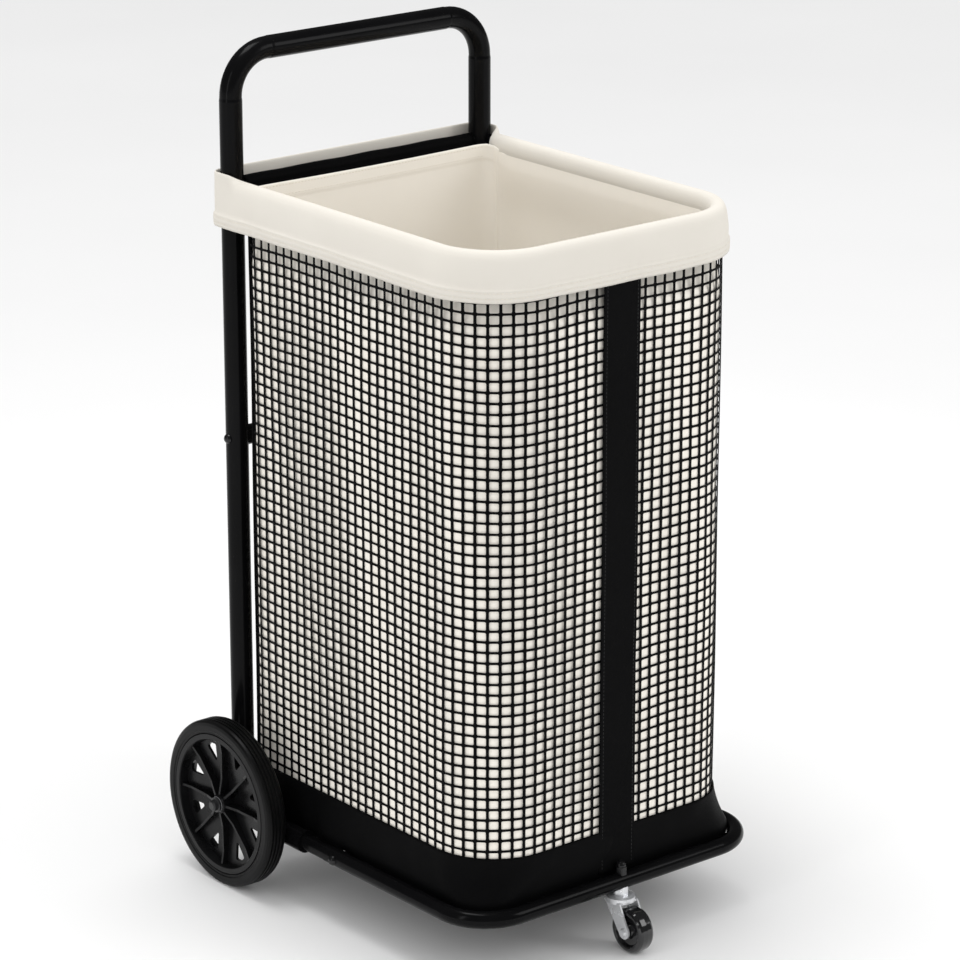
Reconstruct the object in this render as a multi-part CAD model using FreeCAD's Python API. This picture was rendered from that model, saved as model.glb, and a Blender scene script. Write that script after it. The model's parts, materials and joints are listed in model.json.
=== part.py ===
"""Laundry cart: a bolted tube frame on two large wheels and one swivel caster, holding a lined mesh bag.

Millimetres, +Z up. The front of the cart faces -Y and the push handle is at +Y.
Places along Y are first measured from the datum of the bag's working drawing, then every
piece is moved by Y_SHIFT so that the origin is the middle of the cart's footprint.
"""

import math
import os

import FreeCAD
import Part

V = FreeCAD.Vector
X_AXIS = V(1, 0, 0)
Z_AXIS = V(0, 0, 1)
SIDES = (-1, 1)

# ---- clearances -------------------------------------------------------------------------
SLIDE_FIT = 0.10          # radial gap where one tube plugs into another
RUN_FIT = 0.05            # radial gap of a wheel or a swivel on its pin
HOLE_FIT = 0.15           # radial gap round a bolt or a stem in its hole
FABRIC_GAP = 0.3          # between cloth and the hard piece or cloth beside it
SIDE_PLAY = 0.5           # end float of a turning piece between its neighbours

# ---- main tubes -------------------------------------------------------------------------
UPRIGHT_OD = 25.0
UPRIGHT_WALL = 1.2
HANDLE_TOP = 935.0        # top of the push handle
HANDLE_BEND_R = 48.0      # centreline radius of the handle's two bends
BEND_DRAWDOWN = 0.8       # how much thinner the tube is after bending
JOINT_Z = 475.0           # seam between the handle tube and the lower uprights
SPIGOT_LEN = 46.0

CROSSBAR_OD = 22.0
CROSSBAR_WALL = 1.2
CROSSBAR_RISE = 22.0      # crossbar above the seam
INSERT_LEN = 18.0         # threaded plug in each end of a cross tube

BASE_TUBE_OD = 19.0       # front half of the base
BASE_TUBE_WALL = 1.2
BASE_FRONT_Y = -276.0
BASE_TOP_Z = 84.5         # the bag stands at this height
BASE_FRONT_BEND_R = 55.0
REAR_BASE_OD = 25.0       # rear half of the base
REAR_BASE_WALL = 1.5
REAR_BASE_BEND_R = 40.0
STUB_COLLAR_T = 2.0       # between a stub and the inside of the rear half
STUB_WALL = 2.0
STUB_SHOWN = 39.0         # length of stub seen between the two halves
STUB_HELD = 30.0          # length of stub inside the rear half
STUB_SPIGOT_LEN = 38.0
CROSS_TUBE_OD = 16.0
CROSS_TUBE_WALL = 1.2

# ---- rim that carries the bag ---------------------------------------------------------------
RIM_OD = 12.0
RIM_WALL = 1.0
RIM_Z = 780.0
RIM_INSET = 6.0           # rim centreline inside the outer face of the bag

# ---- bag ----------------------------------------------------------------------------------
BAG_HALF = 182.0
BAG_FRONT_Y = -267.0
BAG_REAR_Y = 150.0
BAG_FRONT_R = 76.0
BAG_REAR_R = 35.0
BAG_FLOOR_Z = BASE_TOP_Z + 0.5
BAND_TOP_Z = 132.0        # top of the closed black band at the foot of the bag
MESH_T = 1.6
LINER_T = 2.4
BOARD_T = 4.0
CUFF_T = 1.6
CUFF_STANDOFF = 3.4       # between the mesh and the inside of the cuff
CUFF_H = 60.0
CUFF_REAR_GAP = 6.9       # between the uprights and the cuff behind them
CUFF_REAR_R = 14.0
HEM_SLEEVE_WALL = 1.2

# ---- front strap and the flat stay behind it -----------------------------------------------------
STRAP_HALF = 24.5
STRAP_T = 1.8
STRAP_TUCK = 25.0         # length of strap hidden under the cuff
STAY_HALF = 6.0
STAY_T = 2.0
CLIP_HALF = 10.0
CLIP_WALL = 1.6
CLIP_MOUTH_RISE = 3.5     # the clip is open above this height over the rim's axis

# ---- main wheels -------------------------------------------------------------------------
WHEEL_R = 95.0
WHEEL_W = 26.0
AXLE_FORWARD = 42.0       # axle in front of the uprights
AXLE_D = 10.0
TYRE_T = 15.0
RIM_T = 7.5
HUB_R = 12.0
BUSH_WALL = 1.8
GROOVE_W = 1.7
GROOVE_DEPTH = 1.4
GROOVES = 4
SPOKES = 8
RIB_T = 2.8
WEB_T = 3.2
BOSS_OD = 24.0
WASHER_T = 1.5
CAP_OD = 17.0
CAP_LEN = 8.0

# ---- caster ---------------------------------------------------------------------------------
CASTER_R = 25.0
CASTER_W = 19.0
CASTER_TRAIL = 20.0
CASTER_STEM_D = 8.0
CASTER_NUT_H = 6.0
CASTER_NUT_AF = 15.0
CAP_NUT_AF = 12.0
CAP_NUT_H = 7.0
CAP_NUT_DOME_R = 5.6
CUP_OD = 32.0
CUP_H = 6.5
FORK_T = 2.0
FORK_TOP_Z = 54.5
FORK_GAP = 22.5
FORK_EYE_R = 8.0
CASTER_PIN_D = 6.0
BALL_D = 2.4
BALLS = 14
BALL_RING_R = 11.0

# ---- fasteners --------------------------------------------------------------------------------
BOLT_D = 6.0
BOLT_HEAD_R = 5.6
BOLT_HEAD_H = 4.2

# ---- worked out from the values above ------------------------------------------------------
UPRIGHT_HALF = BAG_HALF - 11.0
UPRIGHT_Y = BAG_REAR_Y + UPRIGHT_OD / 2 + 7.5
BASE_HALF = BAG_HALF + REAR_BASE_OD / 2 + 2.5
CROSSBAR_Z = JOINT_Z + CROSSBAR_RISE
WHEEL_INNER_X = BASE_HALF + REAR_BASE_OD / 2 + 2.5
AXLE_Y = UPRIGHT_Y - AXLE_FORWARD
REAR_LEG_END_Y = AXLE_Y - WHEEL_R - 14.0
BASE_SEAM_Y = REAR_LEG_END_Y - STUB_SHOWN
BASE_BOLT_Y = BASE_SEAM_Y - STUB_SPIGOT_LEN / 2
CROSS_TUBE_Y = AXLE_Y - 28.0
TYRE_SEAT_R = WHEEL_R - TYRE_T
RIM_BORE_R = TYRE_SEAT_R - RIM_T
RIM_UNDER_Z = RIM_Z - RIM_OD / 2 - 2.0
MESH_TOP_Z = RIM_UNDER_Z - 1.0
CUFF_TOP = RIM_Z + RIM_OD / 2 + CUFF_T + 0.4
CUFF_BOTTOM = CUFF_TOP - CUFF_H
CUFF_REAR_Y = UPRIGHT_Y + UPRIGHT_OD / 2 + CUFF_REAR_GAP + CUFF_T
STRAP_LOW_Z = BAG_FLOOR_Z + 1.0
STRAP_HIGH_Z = CUFF_BOTTOM + STRAP_TUCK
BASE_Z = BASE_TOP_Z - BASE_TUBE_OD / 2
STUB_OD = REAR_BASE_OD - 2 * REAR_BASE_WALL - 2 * STUB_COLLAR_T
HEM_SLEEVE_OD = RIM_OD + 2 * FABRIC_GAP + 2 * HEM_SLEEVE_WALL
REAR_BASE_Z = BASE_Z
AXLE_Z = WHEEL_R
WHEEL_OUTER_X = WHEEL_INNER_X + WHEEL_W
CASTER_Y = BASE_FRONT_Y
CASTER_AXLE_Y = CASTER_Y - CASTER_TRAIL
STAY_FRONT_Y = BAG_FRONT_Y + MESH_T + 0.1
LINER_INSET = MESH_T + 0.1 + STAY_T + FABRIC_GAP
CUFF_HALF = BAG_HALF + CUFF_STANDOFF + CUFF_T
CUFF_FRONT_Y = BAG_FRONT_Y - CUFF_STANDOFF - CUFF_T
HANDLE_AXIS_Z = HANDLE_TOP - UPRIGHT_OD / 2
RIM_HALF = BAG_HALF - RIM_INSET
RIM_FRONT_Y = BAG_FRONT_Y + RIM_INSET
FRONT_REACH_Y = CASTER_AXLE_Y - CASTER_R
REAR_REACH_Y = AXLE_Y + WHEEL_R
Y_SHIFT = -(FRONT_REACH_Y + REAR_REACH_Y) / 2


# ---- helpers ------------------------------------------------------------------------------

def cylinder(radius, start, end):
    """Solid cylinder between two points."""
    axis = end - start
    return Part.makeCylinder(radius, axis.Length, start, axis)


def ring(outer_r, inner_r, start, end):
    """Tube between two points."""
    return cylinder(outer_r, start, end).cut(cylinder(inner_r, start, end))


def path(points, bend_r):
    """Wire through the points, with a round bend at each inner one."""
    edges = []
    here = points[0]
    for i in range(1, len(points) - 1):
        corner = points[i]
        to_prev = (points[i - 1] - corner).normalize()
        to_next = (points[i + 1] - corner).normalize()
        half_angle = to_prev.getAngle(to_next) / 2
        run = bend_r / math.tan(half_angle)
        bisector = (to_prev + to_next).normalize()
        centre = corner + bisector * (bend_r / math.sin(half_angle))
        first = corner + to_prev * run
        last = corner + to_next * run
        middle = centre - bisector * bend_r
        edges.append(Part.LineSegment(here, first).toShape())
        edges.append(Part.Arc(first, middle, last).toShape())
        here = last
    edges.append(Part.LineSegment(here, points[-1]).toShape())
    return Part.Wire(edges)


def rod(points, bend_r, diameter):
    """Round bar bent along the points."""
    route = path(points, bend_r)
    direction = points[1] - points[0]
    profile = Part.Wire(Part.makeCircle(diameter / 2, points[0], direction))
    return route.makePipeShell([profile], True, True)


def bent_tube(points, bend_r, diameter, wall):
    """Hollow tube bent along the points."""
    return rod(points, bend_r, diameter).cut(rod(points, bend_r, diameter - 2 * wall))


def outline(half, front_y, rear_y, front_r, rear_r, z):
    """Rounded rectangle seen from above, large corners at the front."""
    k = math.sqrt(0.5)
    left_front = V(-half + front_r, front_y + front_r, z)
    right_front = V(half - front_r, front_y + front_r, z)
    right_rear = V(half - rear_r, rear_y - rear_r, z)
    left_rear = V(-half + rear_r, rear_y - rear_r, z)
    corners = (
        (left_front, front_r, V(-1, 0, 0), V(-k, -k, 0), V(0, -1, 0)),
        (right_front, front_r, V(0, -1, 0), V(k, -k, 0), V(1, 0, 0)),
        (right_rear, rear_r, V(1, 0, 0), V(k, k, 0), V(0, 1, 0)),
        (left_rear, rear_r, V(0, 1, 0), V(-k, k, 0), V(-1, 0, 0)),
    )
    arcs = [
        Part.Arc(c + a * r, c + b * r, c + d * r)
        for c, r, a, b, d in corners
    ]
    edges = []
    for i, arc in enumerate(arcs):
        following = arcs[(i + 1) % len(arcs)]
        edges.append(arc.toShape())
        edges.append(Part.LineSegment(arc.EndPoint, following.StartPoint).toShape())
    return Part.Wire(edges)


def bag_block(inset, z_low, z_high):
    """Solid block of the bag's plan, drawn in by inset."""
    wire = outline(
        BAG_HALF - inset,
        BAG_FRONT_Y + inset,
        BAG_REAR_Y - inset,
        BAG_FRONT_R - inset,
        BAG_REAR_R - inset,
        z_low,
    )
    return Part.Face(wire).extrude(V(0, 0, z_high - z_low))


def cuff_block(inset, z_low, z_high):
    """Solid block of the cuff's plan, drawn in by inset."""
    wire = outline(
        CUFF_HALF - inset,
        CUFF_FRONT_Y + inset,
        CUFF_REAR_Y - inset,
        BAG_FRONT_R + CUFF_STANDOFF + CUFF_T - inset,
        CUFF_REAR_R - inset,
        z_low,
    )
    return Part.Face(wire).extrude(V(0, 0, z_high - z_low))


def box(low, high):
    """Box between two corners."""
    size = high - low
    return Part.makeBox(size.x, size.y, size.z, low)


def turned(points):
    """Solid turned about the X axis from (x, radius) points."""
    corners = [V(x, 0, r) for x, r in points]
    face = Part.Face(Part.makePolygon(corners + corners[:1]))
    return face.revolve(V(0, 0, 0), X_AXIS, 360)


def dome_bolt(seat, side, length):
    """Round-headed bolt along X: the head stands on seat, the shank runs inwards."""
    ball_r = (BOLT_HEAD_R ** 2 + BOLT_HEAD_H ** 2) / (2 * BOLT_HEAD_H)
    half_sweep = math.asin(BOLT_HEAD_R / ball_r) / 2
    centre_x = BOLT_HEAD_H - ball_r
    tip = V(BOLT_HEAD_H, 0, 0)
    on_dome = V(centre_x + ball_r * math.cos(half_sweep), 0, ball_r * math.sin(half_sweep))
    rim = V(0, 0, BOLT_HEAD_R)
    corners = [rim, V(0, 0, BOLT_D / 2), V(-length, 0, BOLT_D / 2), V(-length, 0, 0), tip]
    edges = [Part.Arc(tip, on_dome, rim).toShape()]
    for start, end in zip(corners[:-1], corners[1:]):
        edges.append(Part.LineSegment(start, end).toShape())
    bolt = Part.Face(Part.Wire(edges)).revolve(V(0, 0, 0), X_AXIS, 360)
    if side < 0:
        bolt = mirrored(bolt)
    bolt.translate(seat)
    return bolt


def acorn_nut(seat, outward):
    """Domed nut standing on seat."""
    collar_h = 3.0
    dome_r = 5.2
    collar = cylinder(BOLT_HEAD_R, seat, seat + outward * collar_h)
    dome = Part.makeSphere(dome_r, seat + outward * collar_h)
    below = cylinder(BOLT_HEAD_R * 2, seat - outward * dome_r * 2, seat)
    bore = cylinder(BOLT_D / 2, seat - outward, seat + outward * collar_h)
    return collar.fuse(dome.cut(below)).cut(bore).removeSplitter()


def bolt_hole(seat, outward, depth):
    """Clearance hole for a bolt that enters at seat."""
    return cylinder(BOLT_D / 2 + HOLE_FIT, seat - outward * depth, seat + outward * depth)


def mirrored(shape):
    """The same piece on the other side of the cart."""
    return shape.mirror(V(0, 0, 0), X_AXIS)


def export(name, *solids):
    """Write one node, moved to the cart's own origin."""
    shape = solids[0] if len(solids) == 1 else Part.makeCompound(list(solids))
    shape = shape.copy()
    shape.translate(V(0, Y_SHIFT, 0))
    shape.exportStep("parts/" + name + ".step")


# ---- frame -----------------------------------------------------------------------------------

def handle_points():
    """Centreline of the push handle with its two long legs."""
    return [
        V(-UPRIGHT_HALF, UPRIGHT_Y, JOINT_Z),
        V(-UPRIGHT_HALF, UPRIGHT_Y, HANDLE_AXIS_Z),
        V(UPRIGHT_HALF, UPRIGHT_Y, HANDLE_AXIS_Z),
        V(UPRIGHT_HALF, UPRIGHT_Y, JOINT_Z),
    ]


def make_handle_tube():
    """One bent tube: full size on its straight runs, drawn down a little in the bends."""
    points = handle_points()
    lean = rod(points, HANDLE_BEND_R, UPRIGHT_OD - BEND_DRAWDOWN)
    taper_len = 3.0
    straight_top = HANDLE_AXIS_Z - HANDLE_BEND_R
    straight_side = UPRIGHT_HALF - HANDLE_BEND_R
    full_r = UPRIGHT_OD / 2
    lean_r = full_r - BEND_DRAWDOWN / 2
    runs = [
        (points[0], V(-UPRIGHT_HALF, UPRIGHT_Y, straight_top - taper_len)),
        (points[3], V(UPRIGHT_HALF, UPRIGHT_Y, straight_top - taper_len)),
    ]
    solid = lean
    for start, end in runs:
        solid = solid.fuse(cylinder(full_r, start, end))
        solid = solid.fuse(Part.makeCone(full_r, lean_r, taper_len, end, Z_AXIS))
    bar_end = straight_side - taper_len
    bar_start = V(-bar_end, UPRIGHT_Y, HANDLE_AXIS_Z)
    bar_finish = V(bar_end, UPRIGHT_Y, HANDLE_AXIS_Z)
    solid = solid.fuse(cylinder(full_r, bar_start, bar_finish))
    solid = solid.fuse(Part.makeCone(full_r, lean_r, taper_len, bar_finish, X_AXIS))
    solid = solid.fuse(Part.makeCone(full_r, lean_r, taper_len, bar_start, V(-1, 0, 0)))
    bore = rod(points, HANDLE_BEND_R, UPRIGHT_OD - 2 * UPRIGHT_WALL)
    solid = solid.cut(bore)
    for side in SIDES:
        outward = V(side, 0, 0)
        seat = V(side * (UPRIGHT_HALF + full_r), UPRIGHT_Y, CROSSBAR_Z)
        solid = solid.cut(bolt_hole(seat, outward, UPRIGHT_OD + 1))
    return solid


def rear_base_points():
    """Centreline of the rear half of the base."""
    return [
        V(-BASE_HALF, REAR_LEG_END_Y, REAR_BASE_Z),
        V(-BASE_HALF, UPRIGHT_Y, REAR_BASE_Z),
        V(BASE_HALF, UPRIGHT_Y, REAR_BASE_Z),
        V(BASE_HALF, REAR_LEG_END_Y, REAR_BASE_Z),
    ]


def rear_base_solid():
    """Outer form of the rear base tube, for fitting other pieces against it."""
    return rod(rear_base_points(), REAR_BASE_BEND_R, REAR_BASE_OD)


def make_rear_base_tube():
    """Bent tube that carries the uprights, the wheels and the stubs of the front half."""
    tube = bent_tube(rear_base_points(), REAR_BASE_BEND_R, REAR_BASE_OD, REAR_BASE_WALL)
    for side in SIDES:
        end = V(side * BASE_HALF, REAR_LEG_END_Y, REAR_BASE_Z)
        collar = ring(
            REAR_BASE_OD / 2,
            STUB_OD / 2,
            end,
            end + V(0, STUB_HELD, 0),
        )
        tube = tube.fuse(collar)
    return tube.removeSplitter()


def make_lower_upright(side):
    """Straight tube welded on the rear base tube, with a reduced top that enters the handle."""
    foot = V(side * UPRIGHT_HALF, UPRIGHT_Y, REAR_BASE_Z)
    seam = V(side * UPRIGHT_HALF, UPRIGHT_Y, JOINT_Z)
    top = seam + V(0, 0, SPIGOT_LEN)
    bore_r = UPRIGHT_OD / 2 - UPRIGHT_WALL
    spigot_r = bore_r - SLIDE_FIT
    outer = cylinder(UPRIGHT_OD / 2, foot, seam).fuse(cylinder(spigot_r, foot, top))
    tube = outer.cut(cylinder(spigot_r - UPRIGHT_WALL, foot, top))
    tube = tube.cut(rear_base_solid())
    outward = V(side, 0, 0)
    seat = V(side * (UPRIGHT_HALF + UPRIGHT_OD / 2), UPRIGHT_Y, CROSSBAR_Z)
    tube = tube.cut(bolt_hole(seat, outward, UPRIGHT_OD + 1))
    return max(tube.Solids, key=lambda s: s.Volume)


def make_cross_member(outer_d, wall, z):
    """Straight tube between the uprights, its ends shaped to sit on them."""
    start = V(-UPRIGHT_HALF, UPRIGHT_Y, z)
    end = V(UPRIGHT_HALF, UPRIGHT_Y, z)
    bar = ring(outer_d / 2, outer_d / 2 - wall, start, end)
    for side in SIDES:
        low = V(side * UPRIGHT_HALF, UPRIGHT_Y, z - outer_d)
        high = V(side * UPRIGHT_HALF, UPRIGHT_Y, z + outer_d)
        bar = bar.cut(cylinder(UPRIGHT_OD / 2, low, high))
    return max(bar.Solids, key=lambda s: s.Volume)


def make_crossbar_inserts():
    """Threaded plugs inside the ends of the middle crossbar."""
    plugs = []
    plug_r = CROSSBAR_OD / 2 - CROSSBAR_WALL - SLIDE_FIT
    for side in SIDES:
        inner = UPRIGHT_HALF - UPRIGHT_OD / 2 - 3.0
        start = V(side * (inner - INSERT_LEN), UPRIGHT_Y, CROSSBAR_Z)
        end = V(side * inner, UPRIGHT_Y, CROSSBAR_Z)
        plugs.append(ring(plug_r, BOLT_D / 2, start, end))
    return plugs


def make_crossbar_bolts():
    """One bolt through each upright into the crossbar."""
    bolts = []
    for side in SIDES:
        seat = V(side * (UPRIGHT_HALF + UPRIGHT_OD / 2), UPRIGHT_Y, CROSSBAR_Z)
        bolts.append(dome_bolt(seat, side, UPRIGHT_OD + INSERT_LEN))
    return bolts


def rim_points():
    """Centreline of the rim tube: from one upright round the front to the other."""
    return [
        V(-RIM_HALF, UPRIGHT_Y, RIM_Z),
        V(-RIM_HALF, RIM_FRONT_Y, RIM_Z),
        V(RIM_HALF, RIM_FRONT_Y, RIM_Z),
        V(RIM_HALF, UPRIGHT_Y, RIM_Z),
    ]


def upright_solids():
    """Outer form of both uprights, for fitting other pieces against them."""
    bars = []
    for side in SIDES:
        low = V(side * UPRIGHT_HALF, UPRIGHT_Y, JOINT_Z)
        high = V(side * UPRIGHT_HALF, UPRIGHT_Y, HANDLE_AXIS_Z - HANDLE_BEND_R)
        bars.append(cylinder(UPRIGHT_OD / 2, low, high))
    return bars


def make_rim_tube():
    """Rim that carries the top of the bag, its ends shaped to the uprights and welded there."""
    tube = bent_tube(rim_points(), BAG_FRONT_R - RIM_INSET, RIM_OD, RIM_WALL)
    for bar in upright_solids():
        tube = tube.cut(bar)
    return max(tube.Solids, key=lambda s: s.Volume)


# ---- base ------------------------------------------------------------------------------------

def front_base_points():
    """Centreline of the front half of the base."""
    return [
        V(-BASE_HALF, BASE_SEAM_Y, BASE_Z),
        V(-BASE_HALF, BASE_FRONT_Y, BASE_Z),
        V(BASE_HALF, BASE_FRONT_Y, BASE_Z),
        V(BASE_HALF, BASE_SEAM_Y, BASE_Z),
    ]


def base_bolt_seat(side):
    """Where the head of a base bolt sits, on the outside of the tube."""
    return V(side * (BASE_HALF + BASE_TUBE_OD / 2), BASE_BOLT_Y, BASE_Z)


def make_front_base_tube():
    """U-shaped tube round the front of the bag, with a hole for the caster stem."""
    tube = bent_tube(front_base_points(), BASE_FRONT_BEND_R, BASE_TUBE_OD, BASE_TUBE_WALL)
    below = V(0, CASTER_Y, BASE_Z - BASE_TUBE_OD)
    above = V(0, CASTER_Y, BASE_Z + BASE_TUBE_OD)
    tube = tube.cut(cylinder(CASTER_STEM_D / 2 + HOLE_FIT, below, above))
    for side in SIDES:
        tube = tube.cut(bolt_hole(base_bolt_seat(side), V(side, 0, 0), BASE_TUBE_OD + 1))
    return tube


def make_base_stubs():
    """Stubs fixed in the rear base tube; their reduced ends enter the front half."""
    stubs = []
    bore_r = BASE_TUBE_OD / 2 - BASE_TUBE_WALL
    spigot_r = bore_r - SLIDE_FIT
    for side in SIDES:
        rear = V(side * BASE_HALF, REAR_LEG_END_Y + STUB_HELD, BASE_Z)
        seam = V(side * BASE_HALF, BASE_SEAM_Y, BASE_Z)
        tip = seam - V(0, STUB_SPIGOT_LEN, 0)
        stub = cylinder(STUB_OD / 2, rear, seam).fuse(cylinder(spigot_r, seam, tip))
        stub = stub.cut(cylinder(STUB_OD / 2 - STUB_WALL, rear, tip))
        stub = stub.cut(bolt_hole(base_bolt_seat(side), V(side, 0, 0), BASE_TUBE_OD + 1))
        stubs.append(stub.removeSplitter())
    return stubs


def make_base_bolts():
    """Bolts that lock the two halves of the base together."""
    return [
        dome_bolt(base_bolt_seat(side), side, BASE_TUBE_OD + 2.5)
        for side in SIDES
    ]


def make_base_nuts():
    """Domed nuts on the inner ends of the base bolts."""
    nuts = []
    for side in SIDES:
        seat = base_bolt_seat(side) - V(side * BASE_TUBE_OD, 0, 0)
        nuts.append(acorn_nut(seat, V(-side, 0, 0)))
    return nuts


def make_base_cross_tube():
    """Tube under the bag, between the legs of the rear base tube."""
    z = BASE_TOP_Z - CROSS_TUBE_OD / 2
    start = V(-BASE_HALF, CROSS_TUBE_Y, z)
    end = V(BASE_HALF, CROSS_TUBE_Y, z)
    bar = ring(CROSS_TUBE_OD / 2, CROSS_TUBE_OD / 2 - CROSS_TUBE_WALL, start, end)
    bar = bar.cut(rear_base_solid())
    return max(bar.Solids, key=lambda s: s.Volume)


# ---- main wheels ------------------------------------------------------------------------------

def boss_reach():
    """Inner and outer X of the axle boss on the right-hand side."""
    outer = WHEEL_INNER_X - SIDE_PLAY - WASHER_T - SIDE_PLAY
    inner = BASE_HALF - REAR_BASE_OD / 2 + 2.0
    return inner, outer


def make_axle_bosses():
    """Bosses welded on the rear base tube; each holds a stub axle."""
    inner, outer = boss_reach()
    boss = ring(BOSS_OD / 2, AXLE_D / 2, V(inner, AXLE_Y, AXLE_Z), V(outer, AXLE_Y, AXLE_Z))
    gusset_low = V(inner, AXLE_Y - 17.0, REAR_BASE_Z)
    gusset_high = V(inner + 6.0, AXLE_Y + 17.0, AXLE_Z)
    gusset = box(gusset_low, gusset_high)
    gusset = gusset.cut(cylinder(AXLE_D / 2, V(inner, AXLE_Y, AXLE_Z), V(outer, AXLE_Y, AXLE_Z)))
    boss = boss.fuse(gusset).cut(rear_base_solid())
    boss = max(boss.Solids, key=lambda s: s.Volume).removeSplitter()
    return [mirrored(boss), boss]


def make_stub_axles():
    """Plain stub axles, fixed in the bosses."""
    inner, _ = boss_reach()
    end = WHEEL_OUTER_X + SIDE_PLAY + CAP_LEN - 2.0
    axle = cylinder(AXLE_D / 2, V(inner, AXLE_Y, AXLE_Z), V(end, AXLE_Y, AXLE_Z))
    return [mirrored(axle), axle]


def make_axle_washers():
    """Washers between boss and hub."""
    _, outer = boss_reach()
    start = V(outer, AXLE_Y, AXLE_Z)
    washer = ring(BOSS_OD / 2 - 2.0, AXLE_D / 2 + HOLE_FIT, start, start + V(WASHER_T, 0, 0))
    return [mirrored(washer), washer]


def make_hub_caps():
    """Push-on caps that keep the wheels on their axles."""
    x = WHEEL_OUTER_X + SIDE_PLAY
    end = x + CAP_LEN
    skirt_r = CAP_OD / 2
    dome_r = skirt_r - 2.0
    cap = turned([
        (x, 0), (x, skirt_r), (x + 2.0, skirt_r), (x + 2.6, dome_r),
        (end - 1.5, dome_r - 0.4), (end, dome_r - 2.2), (end, 0),
    ])
    cap.translate(V(0, AXLE_Y, AXLE_Z))
    hole_end = end - 2.0
    cap = cap.cut(cylinder(AXLE_D / 2, V(x, AXLE_Y, AXLE_Z), V(hole_end, AXLE_Y, AXLE_Z)))
    return [mirrored(cap), cap]


def make_tyre():
    """Solid tyre: stepped side walls and grooves round the tread."""
    w = WHEEL_W
    lip_r = TYRE_SEAT_R + 3.0
    shoulder_r = WHEEL_R - 4.0
    points = [
        (2.0, TYRE_SEAT_R), (0.8, TYRE_SEAT_R + 0.8), (0.8, lip_r), (0.0, lip_r + 1.0),
        (0.0, shoulder_r - 2.0), (0.8, shoulder_r + 1.2), (2.4, WHEEL_R - 0.9),
    ]
    land = (w - 8.0) / GROOVES
    for i in range(GROOVES):
        middle = 4.0 + land * (i + 0.5)
        points += [
            (middle - GROOVE_W / 2 - 0.4, WHEEL_R),
            (middle - GROOVE_W / 2, WHEEL_R - GROOVE_DEPTH),
            (middle + GROOVE_W / 2, WHEEL_R - GROOVE_DEPTH),
            (middle + GROOVE_W / 2 + 0.4, WHEEL_R),
        ]
    points += [
        (w - 2.4, WHEEL_R - 0.9), (w - 0.8, shoulder_r + 1.2), (w, shoulder_r - 2.0),
        (w, lip_r + 1.0), (w - 0.8, lip_r), (w - 0.8, TYRE_SEAT_R + 0.8), (w - 2.0, TYRE_SEAT_R),
    ]
    return turned(points)


def hub_bore_r():
    """Radius of the hole in the wheel hub that holds the bushes."""
    return AXLE_D / 2 + RUN_FIT + BUSH_WALL


def make_wheel_centre():
    """Moulded centre: rim barrel, dished web with windows, ribs and hub."""
    w = WHEEL_W
    seat = TYRE_SEAT_R
    bore = RIM_BORE_R
    web_in = w * 0.30
    barrel = turned([
        (2.0, bore + 1.0), (2.0, seat), (w - 2.0, seat), (w - 0.6, seat - 0.6),
        (w - 0.6, bore + 1.4), (w - 1.6, bore + 0.6), (web_in + 6.0, bore - 1.2), (web_in, bore - 1.2),
    ])
    web = turned([
        (web_in + 4.0, bore), (web_in + 4.0 + WEB_T, bore), (web_in + 0.5 + WEB_T, HUB_R + 14.0),
        (web_in + WEB_T, HUB_R - 2.0), (web_in, HUB_R - 2.0), (web_in + 0.5, HUB_R + 14.0),
    ])
    hub = turned([
        (0.0, hub_bore_r()), (0.0, HUB_R - 1.0), (1.0, HUB_R), (w - 1.6, HUB_R - 1.2),
        (w, HUB_R - 3.0), (w, hub_bore_r()),
    ])
    centre = barrel.fuse(web).fuse(hub)
    window_tip = 0.60 * bore
    window_base = bore - 4.5
    window_half = 8.5
    for i in range(SPOKES):
        angle = 360.0 / SPOKES * (i + 0.5)
        corners = [
            V(-1, 0, window_tip),
            V(-1, -window_half, window_base - 3.0),
            V(-1, 0, window_base),
            V(-1, window_half, window_base - 3.0),
        ]
        window = Part.Face(Part.makePolygon(corners + corners[:1])).extrude(V(w + 2, 0, 0))
        upright_edges = [e for e in window.Edges if abs(e.tangentAt(e.FirstParameter).x) > 0.9]
        window = window.makeFillet(2.2, upright_edges)
        window.rotate(V(0, 0, 0), X_AXIS, angle)
        centre = centre.cut(window)
    rib_points = [
        V(web_in + 1.0, 0, HUB_R - 2.0), V(w - 2.5, 0, HUB_R - 2.0), V(w - 6.0, 0, HUB_R + 16.0),
        V(w - 6.5, 0, bore - 14.0), V(w - 4.0, 0, bore + 1.0), V(web_in + 5.0, 0, bore + 1.0),
    ]
    for i in range(SPOKES):
        face = Part.Face(Part.makePolygon(rib_points + rib_points[:1]))
        face.translate(V(0, -RIB_T / 2, 0))
        rib = face.extrude(V(0, RIB_T, 0))
        rib.rotate(V(0, 0, 0), X_AXIS, 360.0 / SPOKES * i)
        centre = centre.fuse(rib)
    return max(centre.Solids, key=lambda s: s.Volume).removeSplitter()


def make_wheel_bushes():
    """Two flanged bushes pressed into the hub from its ends."""
    flange_r = HUB_R - 3.2
    flange_t = 1.2
    length = 9.0
    wall_r = hub_bore_r()
    run_r = AXLE_D / 2 + RUN_FIT
    inner = turned([
        (-flange_t + 0.9, run_r), (-flange_t + 0.9, flange_r), (0.0, flange_r),
        (0.0, wall_r), (length, wall_r), (length, run_r),
    ])
    w = WHEEL_W
    outer = turned([
        (w + 0.3, run_r), (w + 0.3, flange_r), (w, flange_r),
        (w, wall_r), (w - length, wall_r), (w - length, run_r),
    ])
    return inner, outer


def on_wheel_seat(shape):
    """Move a wheel piece, drawn from its inner face outwards, to the right-hand wheel."""
    placed = shape.copy()
    placed.translate(V(WHEEL_INNER_X, AXLE_Y, AXLE_Z))
    return placed


# ---- caster -----------------------------------------------------------------------------------

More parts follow.
